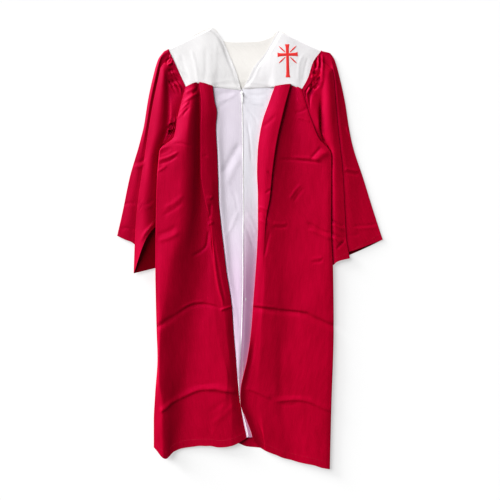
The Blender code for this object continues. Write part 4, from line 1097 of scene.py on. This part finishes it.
def crease(grid, strokes, low, full, share=1.0):
    """Lifts or presses a grid along its strokes.

    Cloth that lies lower than `full` is moved less, and not at all at `low`, so that the layers
    of a fold keep their order. None is pressed into the layer that lies on the table.
    """
    x, drop, z = grid[..., 0], grid[..., 1], grid[..., 2]
    move = np.zeros(z.shape)
    for height, width, sharp, points in strokes_of(strokes):
        xs, drops = zip(*points)
        margin = 3 * width
        near = ((x > min(xs) - margin) & (x < max(xs) + margin)
                & (drop > min(drops) - margin) & (drop < max(drops) + margin))
        if near.any():
            move[near] += height * stroke(x[near], drop[near], points, width, sharp)
    moved = z + share * move * ease(low, full, z)
    grid[..., 2] = np.maximum(moved, np.minimum(z, TABLE_Z + SHELL))


def ripple(x, drop, size, seed, stretch):
    """Smooth uneven waves of about -1 to 1, `size` apart and `stretch` times longer downwards."""
    draw = np.random.default_rng(seed)
    waves = np.zeros(np.shape(x))
    for _ in range(RIPPLE_WAVES):
        angle, phase = draw.uniform(0, 2 * math.pi, 2)
        pitch = size * draw.uniform(*RIPPLE_SIZES)
        ahead = x * math.cos(angle) + drop * math.sin(angle) / stretch
        waves += np.sin(2 * math.pi * ahead / pitch + phase)
    return waves / RIPPLE_FULL


def soften(grid, kind, side):
    """Gives a grid the slight unevenness of cloth that has been handled."""
    for height, size, seed, stretch, low, full in UNEVEN[kind]:
        waves = ripple(grid[..., 0], grid[..., 1], size, seed + side, stretch)
        grid[..., 2] += height * waves * ease(low, full, grid[..., 2])


# ---------------------------------------------------------------- materials


def material(name):
    made = bpy.data.materials.new(name)
    made.use_nodes = True
    return made, made.node_tree, made.node_tree.nodes["Principled BSDF"]


def feed(tree, target, inputs):
    """Sets a node's inputs, and links those that are given as another node's output."""
    for key, value in inputs.items():
        if isinstance(value, bpy.types.NodeSocket):
            tree.links.new(value, target.inputs[key])
        else:
            target.inputs[key].default_value = value


def node(tree, kind, inputs, output=0, **settings):
    """Adds a shader node and gives the output asked for."""
    made = tree.nodes.new("ShaderNode" + kind)
    for key, value in settings.items():
        setattr(made, key, value)
    feed(tree, made, inputs)
    return made.outputs[output]


def noise(tree, scale, detail, **vector):
    return node(tree, "TexNoise", {"Scale": scale, "Detail": detail, **vector}, "Fac")


def ramp(tree, share, low, high, start=0.0):
    """A colour between low and high, which starts to change at a share of the way."""
    made = tree.nodes.new("ShaderNodeValToRGB")
    first, last = made.color_ramp.elements
    first.position, first.color, last.color = start, (*low, 1), (*high, 1)
    tree.links.new(share, made.inputs[0])
    return made.outputs[0]


def dress(tree, shader, colour, grain, relief, roughness, spread, strength, depth):
    """Gives a shader its colour, a roughness that follows the grain, and a relief."""
    rough = node(tree, "MapRange", {"Value": grain, "To Min": roughness - spread,
                                    "To Max": roughness + spread})
    bump = node(tree, "Bump", {"Height": relief, "Strength": strength, "Distance": depth})
    feed(tree, shader, {"Base Color": colour, "Roughness": rough, "Normal": bump})


def cloth(name, threads, specular=TRIM_SHINE, pitch=THREAD_PITCH, glint=(1, 1, 1), painted_low_shade=None):
    """Woven polyester: two sets of threads, slubs along the warp, slow changes of shade."""
    made, tree, shader = material(name)
    uv = node(tree, "UVMap", {}, uv_map="UVMap")
    place_at = node(tree, "TexCoord", {}, "Object")
    sets = [node(tree, "TexWave", {"Vector": uv, "Scale": math.pi / 10 / pitch}, "Fac",
                 bands_direction=direction) for direction in "XY"]
    weave = node(tree, "Math", dict(enumerate(sets)), operation="MAXIMUM")
    slub_at = node(tree, "Mapping", {"Vector": uv, "Scale": SLUB_SCALE})
    slub = noise(tree, *SLUB_NOISE, Vector=slub_at)
    slow = noise(tree, *SLOW_NOISE, Vector=place_at)
    shade = node(tree, "Math", {0: slow, 1: SLOW_SHARE, 2: slub}, operation="MULTIPLY_ADD")
    colour = ramp(tree, shade, threads[1], threads[0], DARK_UP_TO)
    # Painted shade and painted red reflection: the colour is multiplied darker and pinker further down
    # the robe.
    if painted_low_shade:
        painted_shade_colour, drops = painted_low_shade
        y_from, y_to = ((FOOTPRINT_DROP - drop) * MM for drop in drops)
        y = node(tree, "SeparateXYZ", {0: place_at}, "Y")
        down = node(tree, "MapRange", {"Value": y, "From Min": y_from, "From Max": y_to},
                    interpolation_type="SMOOTHSTEP")
        colour = node(tree, "MixRGB", {0: down, 1: colour, 2: (*painted_shade_colour, 1)}, blend_type="MULTIPLY")
    relief = node(tree, "Math", {0: slub, 1: SLUB_RELIEF, 2: weave}, operation="MULTIPLY_ADD")
    dress(tree, shader, colour, slub, relief, **CLOTH_FINISH)
    feed(tree, shader, {"Specular IOR Level": specular, "Specular Tint": (*glint, 1)})
    return made


def gloss(name, colour, roughness):
    """Hard white plastic, enamel or thread, a little uneven."""
    made, tree, shader = material(name)
    grain = noise(tree, *GLOSS_NOISE)
    shade = ramp(tree, grain, [GLOSS_DARKER * part for part in colour], colour)
    dress(tree, shader, shade, grain, grain, roughness=roughness, **GLOSS_FINISH)
    return made


# ---------------------------------------------------------------- trim that lies on the cloth


class Surface:
    """The top of a cloth piece, to lay trim on."""

    def __init__(self, piece):
        points = [vertex.co.copy() for vertex in piece.data.vertices]
        faces = [list(polygon.vertices) for polygon in piece.data.polygons]
        self.tree = BVHTree.FromPolygons(points, faces)

    def at(self, x, drop):
        """The highest point at a place on the robe, and the surface's normal there."""
        start = Vector(place(x, drop, ABOVE_ALL).tolist())
        return self.tree.ray_cast(start, Vector((0, 0, -1)))[:2]


def stitch(middle, normal, ahead):
    """Points and faces of one stitch, a low lozenge that lies on the cloth."""
    length, width, height = STITCH_SIZE
    ahead = (ahead - normal * ahead.dot(normal)).normalized()
    across = normal.cross(ahead)
    half = length / 2 * MM
    points = []
    for t, wide, high in STITCH_RINGS:
        centre = middle + ahead * (t * half)
        for turn in (math.radians(degrees) for degrees in (0, 60, 120, 180)):
            points.append(centre + across * (math.cos(turn) * wide * width / 2 * MM)
                          + normal * ((math.sin(turn) * high * height - STITCH_SUNK) * MM))
    return points, tube(4, len(STITCH_RINGS))


def stitching(name, surface, paths, finish):
    """Rows of stitches laid end to end along paths on a surface."""
    parts = []
    for path in paths:
        path = curve_through(path, STITCH_PITCH)
        for (x0, d0), (x1, d1) in zip(path[:-1], path[1:]):
            middle, normal = surface.at((x0 + x1) / 2, (d0 + d1) / 2)
            if middle is not None:
                parts.append(stitch(middle, normal, Vector((x1 - x0, d0 - d1, 0)).normalized()))
    points, faces = joined(parts)
    return add_mesh(name, points, faces, finish, [point[:2] for point in points])


def edge_line(side, table, inset, short=0.0):
    """A line of places `inset` further up the robe than an edge, cut short by shares at its ends."""
    points = [(side * out, drop - inset) for out, drop in table]
    return along(points, np.linspace(short, 1 - short, EDGE_POINTS))


# ---------------------------------------------------------------- the cloth pieces


def row_drops(top, end, hem, share):
    """Drops of the rows: even down the armhole, and then spread out to reach the hem's line."""
    spread = np.maximum(share - ARM_SHARE, 0) / (1 - ARM_SHARE)
    return top + (end - top) * share + (hem - end) * spread


def front_shell(side, name, finish):
    typical = typical_guides(lambda drop: front_guides(side, drop), SAMPLE_DROPS["front"])
    weights = spline_samples(typical)

    def out_at(drop):
        return blend_guides(weights, front_guides(side, np.full(len(weights), float(drop))))[0]

    top = line(YOKE_LINE[side], out_at(YOKE_DROP)) - TOP_TUCK
    hem = line(HEM[side], out_at(HEM_DROP))
    share = spaced(FRONT_ROWS, FRONT_CLOSER)[:, None]
    drop = row_drops(top, seam_end(side), hem, share)
    out, z = blend_guides(weights, front_guides(side, drop))
    left = (1 - share) * (hem - top)
    waves = ripple(out, 0 * out, HEM_WAVE_SIZE, HEM_SEED + side, 1)
    drop = drop + HEM_WAVE * waves * ease(HEM_WAVE_REACH, 0, left)
    z = z + HEM_STEP * ease(*HEM_STEP_OVER, left)
    grid = np.stack([side * out, drop, z], axis=-1)
    soften(grid, "front", side)
    crease(grid, STROKES[name], *FELT["front"])
    return shell(name, grid, finish)


def panel_shell(side, name, finish):
    share = np.linspace(0, 1, PANEL_COLUMNS)
    down = np.linspace(0, 1, PANEL_ROWS)[:, None]
    drop = PANEL_TOP + down * (PANEL_HEM - PANEL_TOP)
    zip_at = columns(ZIP_COLUMNS, ZIP, drop)
    start = side * zip_at["x"] + ZIP_GAP / 2 - ZIP_CLOSES * ease(*ZIP_CLOSING, drop)
    end = columns(PLEAT_COLUMNS, PLEAT[side], drop)["inner"] + SEAM_HIDE
    out = start + (end - start) * share
    z = zip_at["z"] + (WHITE_Z - zip_at["z"]) * ease(0, ZIP_RISE_SHARE, share) + 0 * out
    drops = line(YOKE_LINE[side], out) - TOP_TUCK
    drops = drops + (PANEL_HEM - drops) * down
    grid = np.stack([side * out, drops, z], axis=-1)
    soften(grid, "panel", side)
    crease(grid, STROKES[name], *FELT["panel"])
    return shell(name, grid, finish)


def back_shell(name, finish):
    weights = spline_samples(typical_guides(back_guides, SAMPLE_DROPS["back"]))
    guides = back_guides(np.full(len(weights), float(BACK_DROP)))
    x = blend_guides(weights, guides)[0]
    top = line(BACK_YOKE_LINE, x) - TOP_TUCK
    hem = line(BACK_HEM, x)
    end = np.where(x < 0, seam_end(LEFT), seam_end(RIGHT))
    share = np.linspace(0, 1, BACK_ROWS)[:, None]
    drop = row_drops(top, end, hem, share)
    x, z = blend_guides(weights, back_guides(drop))
    grid = np.stack([x, drop, z], axis=-1)
    crease(grid, STROKES[name], *FELT["back"])
    return shell(name, grid, finish)


def yoke_front_shell(side, name, finish):
    u, v = np.linspace(0, 1, YOKE_FRONT_COLUMNS), np.linspace(0, 1, YOKE_FRONT_ROWS)
    bottom = np.array(YOKE_LINE[side], float)
    bottom[0, 0] = NECK_EDGE[side][-1][0]
    bottom[-1] = YOKE_ARMHOLE[side][-1]
    plan, u, v = coons(lambda s: along(SHOULDER[side], s), lambda s: along(bottom, s),
                       lambda s: along(NECK_EDGE[side], s),
                       lambda s: armhole_points(side, s), u, v)
    roll_top = SHOULDER_END_Z + SHOULDER_ROLL
    z = roll_top + YOKE_PUFF * np.sin(math.pi * u) * np.sin(math.pi * v)
    z += v**2 * (line(YOKE_HEM_Z, plan[..., 0]) - roll_top)
    # The lower edge and the neck's edge turn under, and the shoulder rolls down to the back yoke.
    turned = YOKE_HEM_TURN * ease(YOKE_HEM_SHARE, 1, v)
    z -= turned + NECK_TURN * (1 - v**6) * ease(NECK_SHARE, 0, u)
    inward = plan[1] - plan[0]
    inward /= np.linalg.norm(inward, axis=-1, keepdims=True)
    curl = []
    for turn in np.radians(SHOULDER_TURNS):
        inset = SHOULDER_ROLL * (1 - math.sin(turn))
        fall = SHOULDER_ROLL * (1 - math.cos(turn))
        curl.append(np.column_stack([plan[0] + inward * inset, z[0] - fall]))
    plan[0] += inward * SHOULDER_ROLL
    grid = np.concatenate([np.array(curl), np.dstack([plan, z])])
    grid[..., 0] *= side
    soften(grid, "yoke", side)
    crease(grid, STROKES[name], *FELT["yoke"])
    rest = yoke_back_z(np.abs(grid[..., 0]), grid[..., 1]) + SHELL + YOKE_REST
    grid[..., 2] = np.maximum(grid[..., 2], rest)
    return shell(name, grid, finish)


def yoke_back_z(out, drop):
    """Height of the back yoke, which is carried up a little where it shows at the neck."""
    rises, falls, sideways = YOKE_RISE_OVER
    return TABLE_Z + YOKE_RISE * ease(*rises, drop) * ease(*falls, drop) * ease(*sideways, out)


def yoke_back_shell(name, finish):
    left = [(-out, drop) for out, drop in SHOULDER[LEFT][::-1]]
    upper = [*left[:-1], *BACK_NECK, *SHOULDER[RIGHT][1:]]
    u, v = np.linspace(0, 1, YOKE_BACK_COLUMNS), np.linspace(0, 1, YOKE_BACK_ROWS)
    plan = coons(lambda s: along(upper, s), lambda s: along(BACK_YOKE_LINE, s),
                 lambda s: armhole_points(LEFT, s) * (-1, 1),
                 lambda s: armhole_points(RIGHT, s), u, v)[0]
    grid = np.dstack([plan, yoke_back_z(np.abs(plan[..., 0]), plan[..., 1])])
    return shell(name, grid, finish)


def sleeve_ends(side, parts):
    """The drops at which each guide line round the sleeve starts and ends."""
    ends = []
    for table in (dict(SLEEVE_START[side]), dict(CUFF[side])):
        table.setdefault("inner", armhole_stations(side)[-1])
        drops = np.array([table.get(part.split("_")[0], 0) for part in parts], float)
        for part, before, after in (("front", "valley", "inner"), ("back", "inner", "outer")):
            first = parts.index(part)
            shares = np.arange(1, 5) / 5
            drops[first:first + 4] = table[before] + shares * (table[after] - table[before])
        ends.append(drops)
    for part in ("hidden", "ridge"):
        first = parts.index(part)
        ends[0][first:first + 4] += GATHER_STEP * np.arange(4)
    return ends


def sleeve_shell(side, name, finish, wrong_side_shaded):
    sample = sleeve_guides(side, np.float64(SAMPLE_DROPS["sleeve"][-1]))
    parts = [part for part, points in sample.items() for _ in points]

    def points_at(drop):
        return [point for points in sleeve_guides(side, drop).values() for point in points]

    weights = spline_samples(typical_guides(points_at, SAMPLE_DROPS["sleeve"]), closed=True)
    leave = weights @ np.array([HEAD_SHARE[part.split("_")[0]] for part in parts])
    starts, ends = sleeve_ends(side, parts)
    start, end = weights @ starts, weights @ ends
    is_back = weights @ np.array([part in ("inner_low", "back") for part in parts], float)
    outer = parts.index("outer")
    is_back += (weights[:, outer] + weights[:, outer + 1]) / 2
    is_front = 1 - np.clip(is_back, 0, 1)
    slide = ease(*SEAM_SLIDE, start)
    share = spaced(SLEEVE_ROWS, HEAD_CLOSER)[:, None]
    drop = start + (end - start) * share
    out, z = blend_guides(weights, points_at(drop))
    free = ease(0, leave, share)
    # Low on the armhole the cloth first runs beside the seam, and high up straight down.
    held = start + slide * (drop - start)
    tucked = SEAM_TUCK * ease(*TUCK_ENDS, held) * np.maximum(is_front, ease(*TUCK_BELOW, held))
    seam_out = armhole(side, held, sleeve_at(side, held)["inner"]) + ARMHOLE_GAP - tucked
    seam_z = TABLE_Z + is_front * (line(ARMHOLE_Z, held) - TABLE_Z)
    out = seam_out + free * (out - seam_out)
    z = seam_z + free * (z - seam_z)
    away = (end - start) * share
    sway = GATHER_SWAY * np.sin(start / GATHER_SWAY_PITCH)
    pucker = np.sin(2 * math.pi * start / GATHER_PITCH + sway)
    puckered = GATHER_HEIGHT * pucker * np.exp(-away / GATHER_REACH) * ease(0, GATHER_START, away)
    z = z + is_front * puckered
    grid = np.stack([side * out, drop, z], axis=-1)
    soften(grid, "sleeve", side)
    crease(grid, STROKES[name], *FELT["sleeve"])
    crease(grid, HEAD_STROKES[name], *FELT["head"], share=is_front)
    crease(grid, BACK_STROKES[name], *FELT["sleeve_back"])
    return shell(name, grid, finish, closed=True, wrong_side_shaded=wrong_side_shaded)


# ---------------------------------------------------------------- the zip


def tooth(centre, ahead, across, up):
    """Points and faces of a small block that narrows towards its top."""
    length, breadth, height = TEETH_SIZE
    points = []
    for level, share in TEETH_LEVELS:
        for i, j in ((-1, -1), (1, -1), (1, 1), (-1, 1)):
            points.append(centre + ahead * (i * share * length / 2 * MM)
                          + across * (j * share * breadth / 2 * MM) + up * (level * height * MM))
    return points, [face[::-1] for face in tube(4, len(TEETH_LEVELS))]


def zip_teeth(name, finish):
    """The closed chain: teeth from both tapes in turn, meshed along the middle line."""
    drops = np.arange(TEETH_TOP, TEETH_END, TEETH_PITCH / 2)
    at = columns(ZIP_COLUMNS, ZIP, drops)
    line_of = place(at["x"], drops, at["z"] + TEETH_LIFT)
    parts = []
    for i, (centre, ahead) in enumerate(zip(line_of, np.gradient(line_of, axis=0))):
        ahead = Vector(ahead.tolist()).normalized()
        across = ahead.cross(Vector((0, 0, 1))).normalized()
        up = across.cross(ahead).normalized()
        centre = Vector(centre.tolist()) + across * ((-1) ** i * TEETH_SIDE * MM)
        parts.append(tooth(centre, ahead, across, up))
    points, faces = joined(parts)
    return add_mesh(name, points, faces, finish, [point[:2] for point in points])


def tape(name, finish):
    drops = np.linspace(TAPE_TOP, TAPE_END, TAPE_ROWS)
    at = columns(ZIP_COLUMNS, ZIP, drops)
    across = np.linspace(-TAPE_WIDTH / 2, TAPE_WIDTH / 2, TAPE_COLUMNS)
    z = at["z"][:, None] - CLOTH / 2 - TAPE_BELOW - TAPE_THICK / 2 + 0 * across
    grid = np.stack([at["x"][:, None] + across, drops[:, None] + 0 * across, z], axis=-1)
    return shell(name, grid, finish, thick=TAPE_THICK)


def outline(width, top, bottom, corner):
    """A rounded rectangle's outline, anticlockwise, from (x, y) = (-width/2, bottom)."""
    points = []
    corners = ((-1, bottom, 180), (1, bottom, 270), (1, top, 0), (-1, top, 90))
    for side, y, start in corners:
        cx = side * (width / 2 - corner)
        cy = y + corner if y == bottom else y - corner
        for turn in np.radians(np.linspace(start, start + 90, CORNER_POINTS)):
            points.append((cx + corner * math.cos(turn), cy + corner * math.sin(turn)))
    return points


def crown_point(turn, level, share):
    """A point of the slider's waisted outline, drawn in by a share at a level of its height."""
    width, length, thick = SLIDER_SIZE
    cos, sin = math.cos(turn), math.sin(turn)
    y = length / 2 * math.copysign(abs(sin) ** SLIDER_SQUARE[1], sin)
    deep, middle, long = SLIDER_WAIST
    narrower, nose = SLIDER_NOSE
    waist = 1 - deep * math.exp(-((y - middle) / long) ** 2) - narrower * (y > nose) * (y - nose) / nose
    x = width / 2 * math.copysign(abs(cos) ** SLIDER_SQUARE[0], cos) * waist
    return (x * share * SLIDER_TRIM, y * (SLIDER_TRIM * min(share, 1)), level * thick)


def bridge_point(turn, about):
    """A point of the wire that arches over the slider; `about` goes round the wire."""
    hole_long, hole_high = BRIDGE_HOLE
    y = -math.cos(turn) * (hole_long / 2 + BRIDGE_WIRE / 2)
    z = SLIDER_SIZE[2] - BRIDGE_SUNK + math.sin(turn) * (hole_high + BRIDGE_WIRE / 2 + BRIDGE_SUNK)
    up = math.sin(about) * BRIDGE_WIRE / 2
    return (math.cos(about) * BRIDGE_WIDTH / 2, y - up * math.cos(turn), z + up * math.sin(turn))


def slider(name, seat, finish):
    """A tapering plate with a raised crown, and the bridge that the pull tab hangs from."""
    around, about, rings = 28, 8, 19
    points = [crown_point(2 * math.pi * k / around, *level)
              for level in SLIDER_LEVELS for k in range(around)]
    faces = tube(around, len(SLIDER_LEVELS)) + tube(about, rings, base=len(points))
    points += [bridge_point(math.pi * k / (rings - 1), 2 * math.pi * j / about)
               for k in range(rings) for j in range(about)]
    points = np.array(points) * MM + seat
    return add_mesh(name, points, faces, finish, points[:, :2])


def pull(name, hinge, finish):
    """The tab, which hangs from the bridge by the bar across its top and lies down the zip."""
    width, length, thick = TAB_SIZE
    outer = outline(width, TAB_BAR, -length, TAB_CORNER)
    hole = outline(TAB_INNER, -TAB_BAR, -TAB_WINDOW, TAB_INNER_CORNER)
    cos, sin = math.cos(TAB_REST_TILT), math.sin(TAB_REST_TILT)
    tilt = np.array([(1, 0, 0), (0, cos, sin), (0, -sin, cos)])
    rings = [[(*point, level) for point in ring] for level in (-thick / 2, thick / 2)
             for ring in (outer, hole)]
    points = np.array([point for ring in rings for point in ring]) @ tilt + np.array(hinge) / MM
    count = len(outer)
    faces = []
    for i in range(count):
        j = (i + 1) % count
        o0, h0, o1, h1 = (k * count for k in range(4))
        faces += [(o0 + j, o0 + i, h0 + i, h0 + j), (o1 + i, o1 + j, h1 + j, h1 + i),
                  (o0 + i, o0 + j, o1 + j, o1 + i), (h0 + j, h0 + i, h1 + i, h1 + j)]
    made = add_mesh(name, points * MM, faces, finish, points[:, :2] * MM)
    round_edges = made.modifiers.new("round", "BEVEL")
    round_edges.width = TAB_BEVEL * MM
    round_edges.segments = 3
    round_edges.limit_method = "ANGLE"
    return made


# ---------------------------------------------------------------- the emblem


def satin(surface, start, end, widths):
    """A bar of satin stitch from start to end, with its width at shares of the way."""
    start, end = np.array(start, float), np.array(end, float)
    reach = np.linalg.norm(end - start)
    steps = max(4, int(reach / SATIN_PITCH))
    ahead = (end - start) / reach
    beside = np.array([-ahead[1], ahead[0]])
    points, uvs = [], []
    across = np.linspace(-1, 1, SATIN_ACROSS)
    for share in (i / steps for i in range(steps + 1)):
        wide = line(widths, share)
        for t in across:
            x, drop = start + ahead * reach * share + beside * (wide / 2 * t)
            dome = SATIN_EDGE + (1 - SATIN_EDGE) * math.sqrt(max(0.0, 1 - t * t))
            dome *= SATIN_LIFT
            points.append(surface.at(x, drop)[0] + Vector((0, 0, dome * MM)))
            uvs.append((t * wide / 2 * MM, share * reach * MM))
    cols = len(across)
    total = len(points)
    points += [point - Vector((0, 0, (SATIN_LIFT + SATIN_SUNK) * MM)) for point in points]
    faces = []
    for a in (i * cols + j for i in range(steps) for j in range(cols - 1)):
        quad = (a, a + cols, a + cols + 1, a + 1)
        faces += [quad, tuple(k + total for k in quad[::-1])]
    index = np.arange(total).reshape(steps + 1, cols)
    rim = [*index[0], *index[1:, -1], *index[-1, -2::-1], *index[-2:0:-1, 0]]
    rim = [int(k) for k in rim]
    faces += [(a, b, b + total, a + total) for a, b in zip(rim, rim[1:] + rim[:1])]
    return points, faces, uvs + uvs


def emblem(name, surface, finish):
    bars = [satin(surface, *bar) for bar in EMBLEM]
    points, faces = joined([bar[:2] for bar in bars])
    return add_mesh(name, points, faces, finish, [uv for bar in bars for uv in bar[2]])


# ---------------------------------------------------------------- stage and light


def stage():
    """The white floor, the pale surroundings, the window's light and the camera overhead."""
    finish, tree, shader = material("floor")
    feed(tree, shader, {"Base Color": (*FLOOR_COLOUR, 1), "Emission Color": (1, 1, 1, 1),
                        "Emission Strength": FLOOR_GLOW, "Roughness": 1.0,
                        "Specular IOR Level": 0.0})
    mesh = bpy.data.meshes.new("floor")
    corners = ((-1, -1), (1, -1), (1, 1), (-1, 1))
    mesh.from_pydata([(i * FLOOR_REACH, j * FLOOR_REACH, FLOOR_Z) for i, j in corners], [],
                     [(0, 1, 2, 3)])
    mesh.materials.append(finish)
    add_object("floor", mesh)

    world = bpy.data.worlds.new("studio")
    world.use_nodes = True
    feed(world.node_tree, world.node_tree.nodes["Background"],
         {"Color": (1, 1, 1, 1), "Strength": FILL})
    scene = bpy.context.scene
    scene.world = world
    for name, azimuth, elevation, strength, spread in LIGHTS:
        light = bpy.data.lights.new(name, "SUN")
        light.energy, light.angle = strength, math.radians(spread)
        azimuth, elevation = math.radians(azimuth), math.radians(elevation)
        towards = Vector((math.cos(azimuth) * math.cos(elevation),
                          math.sin(azimuth) * math.cos(elevation), math.sin(elevation)))
        lamp = add_object(name, light)
        lamp.location = towards * LAMP_FAR
        lamp.rotation_euler = towards.to_track_quat("Z", "Y").to_euler()
    camera = bpy.data.cameras.new("camera")
    camera.lens = LENS
    scene.camera = add_object("camera", camera)
    scene.camera.location = (VIEW_X, VIEW_Y, EYE_Z)
    scene.view_settings.view_transform = "Standard"
    scene.view_settings.look = LOOK


# ---------------------------------------------------------------- main


def build():
    red = cloth("red_polyester", RED_THREAD, RED_SHINE, glint=RED_GLINT)
    dull_and_shaded = cloth("red_polyester_wrong_side_and_shade", RED_WRONG_SIDE_AND_SHADE, WHITE_SHINE, glint=RED_GLINT)
    white = cloth("white_polyester", WHITE_THREAD, WHITE_SHINE)
    inside = cloth("white_polyester_inside", INSIDE_THREAD, INSIDE_SHINE)
    yokes = {LEFT: white, RIGHT: cloth("white_yoke_right_painted_shade", RIGHT_YOKE_SHADED_THREAD, WHITE_SHINE)}
    # The white panels have painted shade in their colours, and more painted shade and red reflection
    # lower down.
    panels = {side: cloth(name, threads, WHITE_SHINE, painted_low_shade=PANEL_PAINTED_LOW_SHADE[side])
              for side, name, threads in ((LEFT, "white_panel_left_painted_shade", LEFT_PANEL_SHADED_THREAD),
                                          (RIGHT, "white_panel_right_painted_shade", RIGHT_PANEL_SHADED_THREAD))}
    made = {}
    for side, at in SIDES:
        for kind, build_one, *finishes in (("front_red_", front_shell, red),
                                           ("panel_white_", panel_shell, panels[side]),
                                           ("yoke_front_", yoke_front_shell, yokes[side]),
                                           ("sleeve_", sleeve_shell, red, dull_and_shaded)):
            made[kind + at] = build_one(side, kind + at, *finishes)
    made["back_panel"] = back_shell("back_panel", red)
    made["yoke_back"] = yoke_back_shell("yoke_back", inside)
    return made


def seams(pieces):
    """The rows of stitches that show: hems, cuffs, the yoke's edges and beside the zip."""
    red = gloss("red_thread", RED_STITCHES, STITCH_ROUGH)
    white = gloss("white_thread", WHITE_STITCHES, STITCH_ROUGH)
    drops = np.linspace(PANEL_TOP + PLACKET_SHORT, PANEL_HEM - PLACKET_SHORT, PLACKET_POINTS)
    zip_x = columns(ZIP_COLUMNS, ZIP, drops)["x"]
    for side, at in SIDES:
        cuff = [(sleeve_at(side, float(drop))[part], drop)
                for part, drop in CUFF[side].items() if part in CUFF_FOLDS]
        yoke = [edge_line(side, YOKE_LINE[side], YOKE_STITCH, YOKE_SHORT),
                [(side * (out + YOKE_STITCH), drop + 1) for out, drop in NECK_EDGE[side]]]
        placket = np.column_stack([zip_x + side * PLACKET_STITCH, drops])
        for name, kind, paths, finish, slot in (
                ("hem", "front_red_", [edge_line(side, HEM[side], HEM_DEPTH)], red, "red polyester"),
                ("cuff", "sleeve_", [edge_line(side, cuff, HEM_DEPTH)], red, "red polyester"),
                ("yoke", "yoke_front_", yoke, white, "white polyester"),
                ("placket", "panel_white_", [placket], white, "white polyester")):
            surface = Surface(pieces[kind + at])
            yield stitching(f"stitches_{name}_{at}", surface, paths, finish), slot
    neck = edge_line(1, BACK_NECK, -BACK_NECK_STITCH, BACK_NECK_SHORT)
    yield stitching("stitches_back_neck", Surface(pieces["yoke_back"]), [neck], white), "white polyester"


def main():
    for name in ("Cube", "Light", "Camera"):
        if name in bpy.data.objects:
            bpy.data.objects.remove(bpy.data.objects[name])
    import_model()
    pieces = build()
    plastic = gloss("white_plastic", PLASTIC, PLASTIC_ROUGH)
    enamel = gloss("white_enamel", ENAMEL, ENAMEL_ROUGH)
    tape_piece = tape("zip_tape", cloth("white_tape", WHITE_THREAD, pitch=TAPE_PITCH))
    at = columns(ZIP_COLUMNS, ZIP, float(SLIDER_DROP))
    seat_z = at["z"] + CLOTH / 2 + SLIDER_GAP
    seat = place(at["x"], SLIDER_DROP, seat_z)
    hinge = place(at["x"], SLIDER_DROP, seat_z + SLIDER_SIZE[2] + BRIDGE_HOLE[1] / 2)
    teeth = zip_teeth("zip_teeth", plastic)
    slider_piece = slider("slider", seat, enamel)
    tab = pull("pull", hinge, enamel)
    on_yoke = Surface(pieces["yoke_front_at_right"])
    badge = emblem("emblem", on_yoke, cloth("emblem_thread", EMBLEM_THREAD, pitch=EMBLEM_PITCH))
    # Each piece with its body, the node that it stands for, and its slot.
    riders = [(piece, "robe", name, SLOTS[name.split("_at_")[0]]) for name, piece in pieces.items()]
    riders += [(tape_piece, "robe", "zip_tape", "white tape"),
               (teeth, "robe", None, "white enamel"),
               (slider_piece, "robe", "zip_slider", "white enamel"),
               (tab, "pull_tab", "zip_pull_tab", "white enamel"),
               (badge, "robe", None, "red polyester")]
    riders += [(piece, "robe", None, slot) for piece, slot in seams(pieces)]
    for piece, body, node_name, slot in riders:
        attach(piece, body)
        if node_name:
            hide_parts(node_name)
    for node_name, (flat, area, held, rests_on) in SHEETS.items():
        [pieces[other].name for other in rests_on]
    stage()


main()
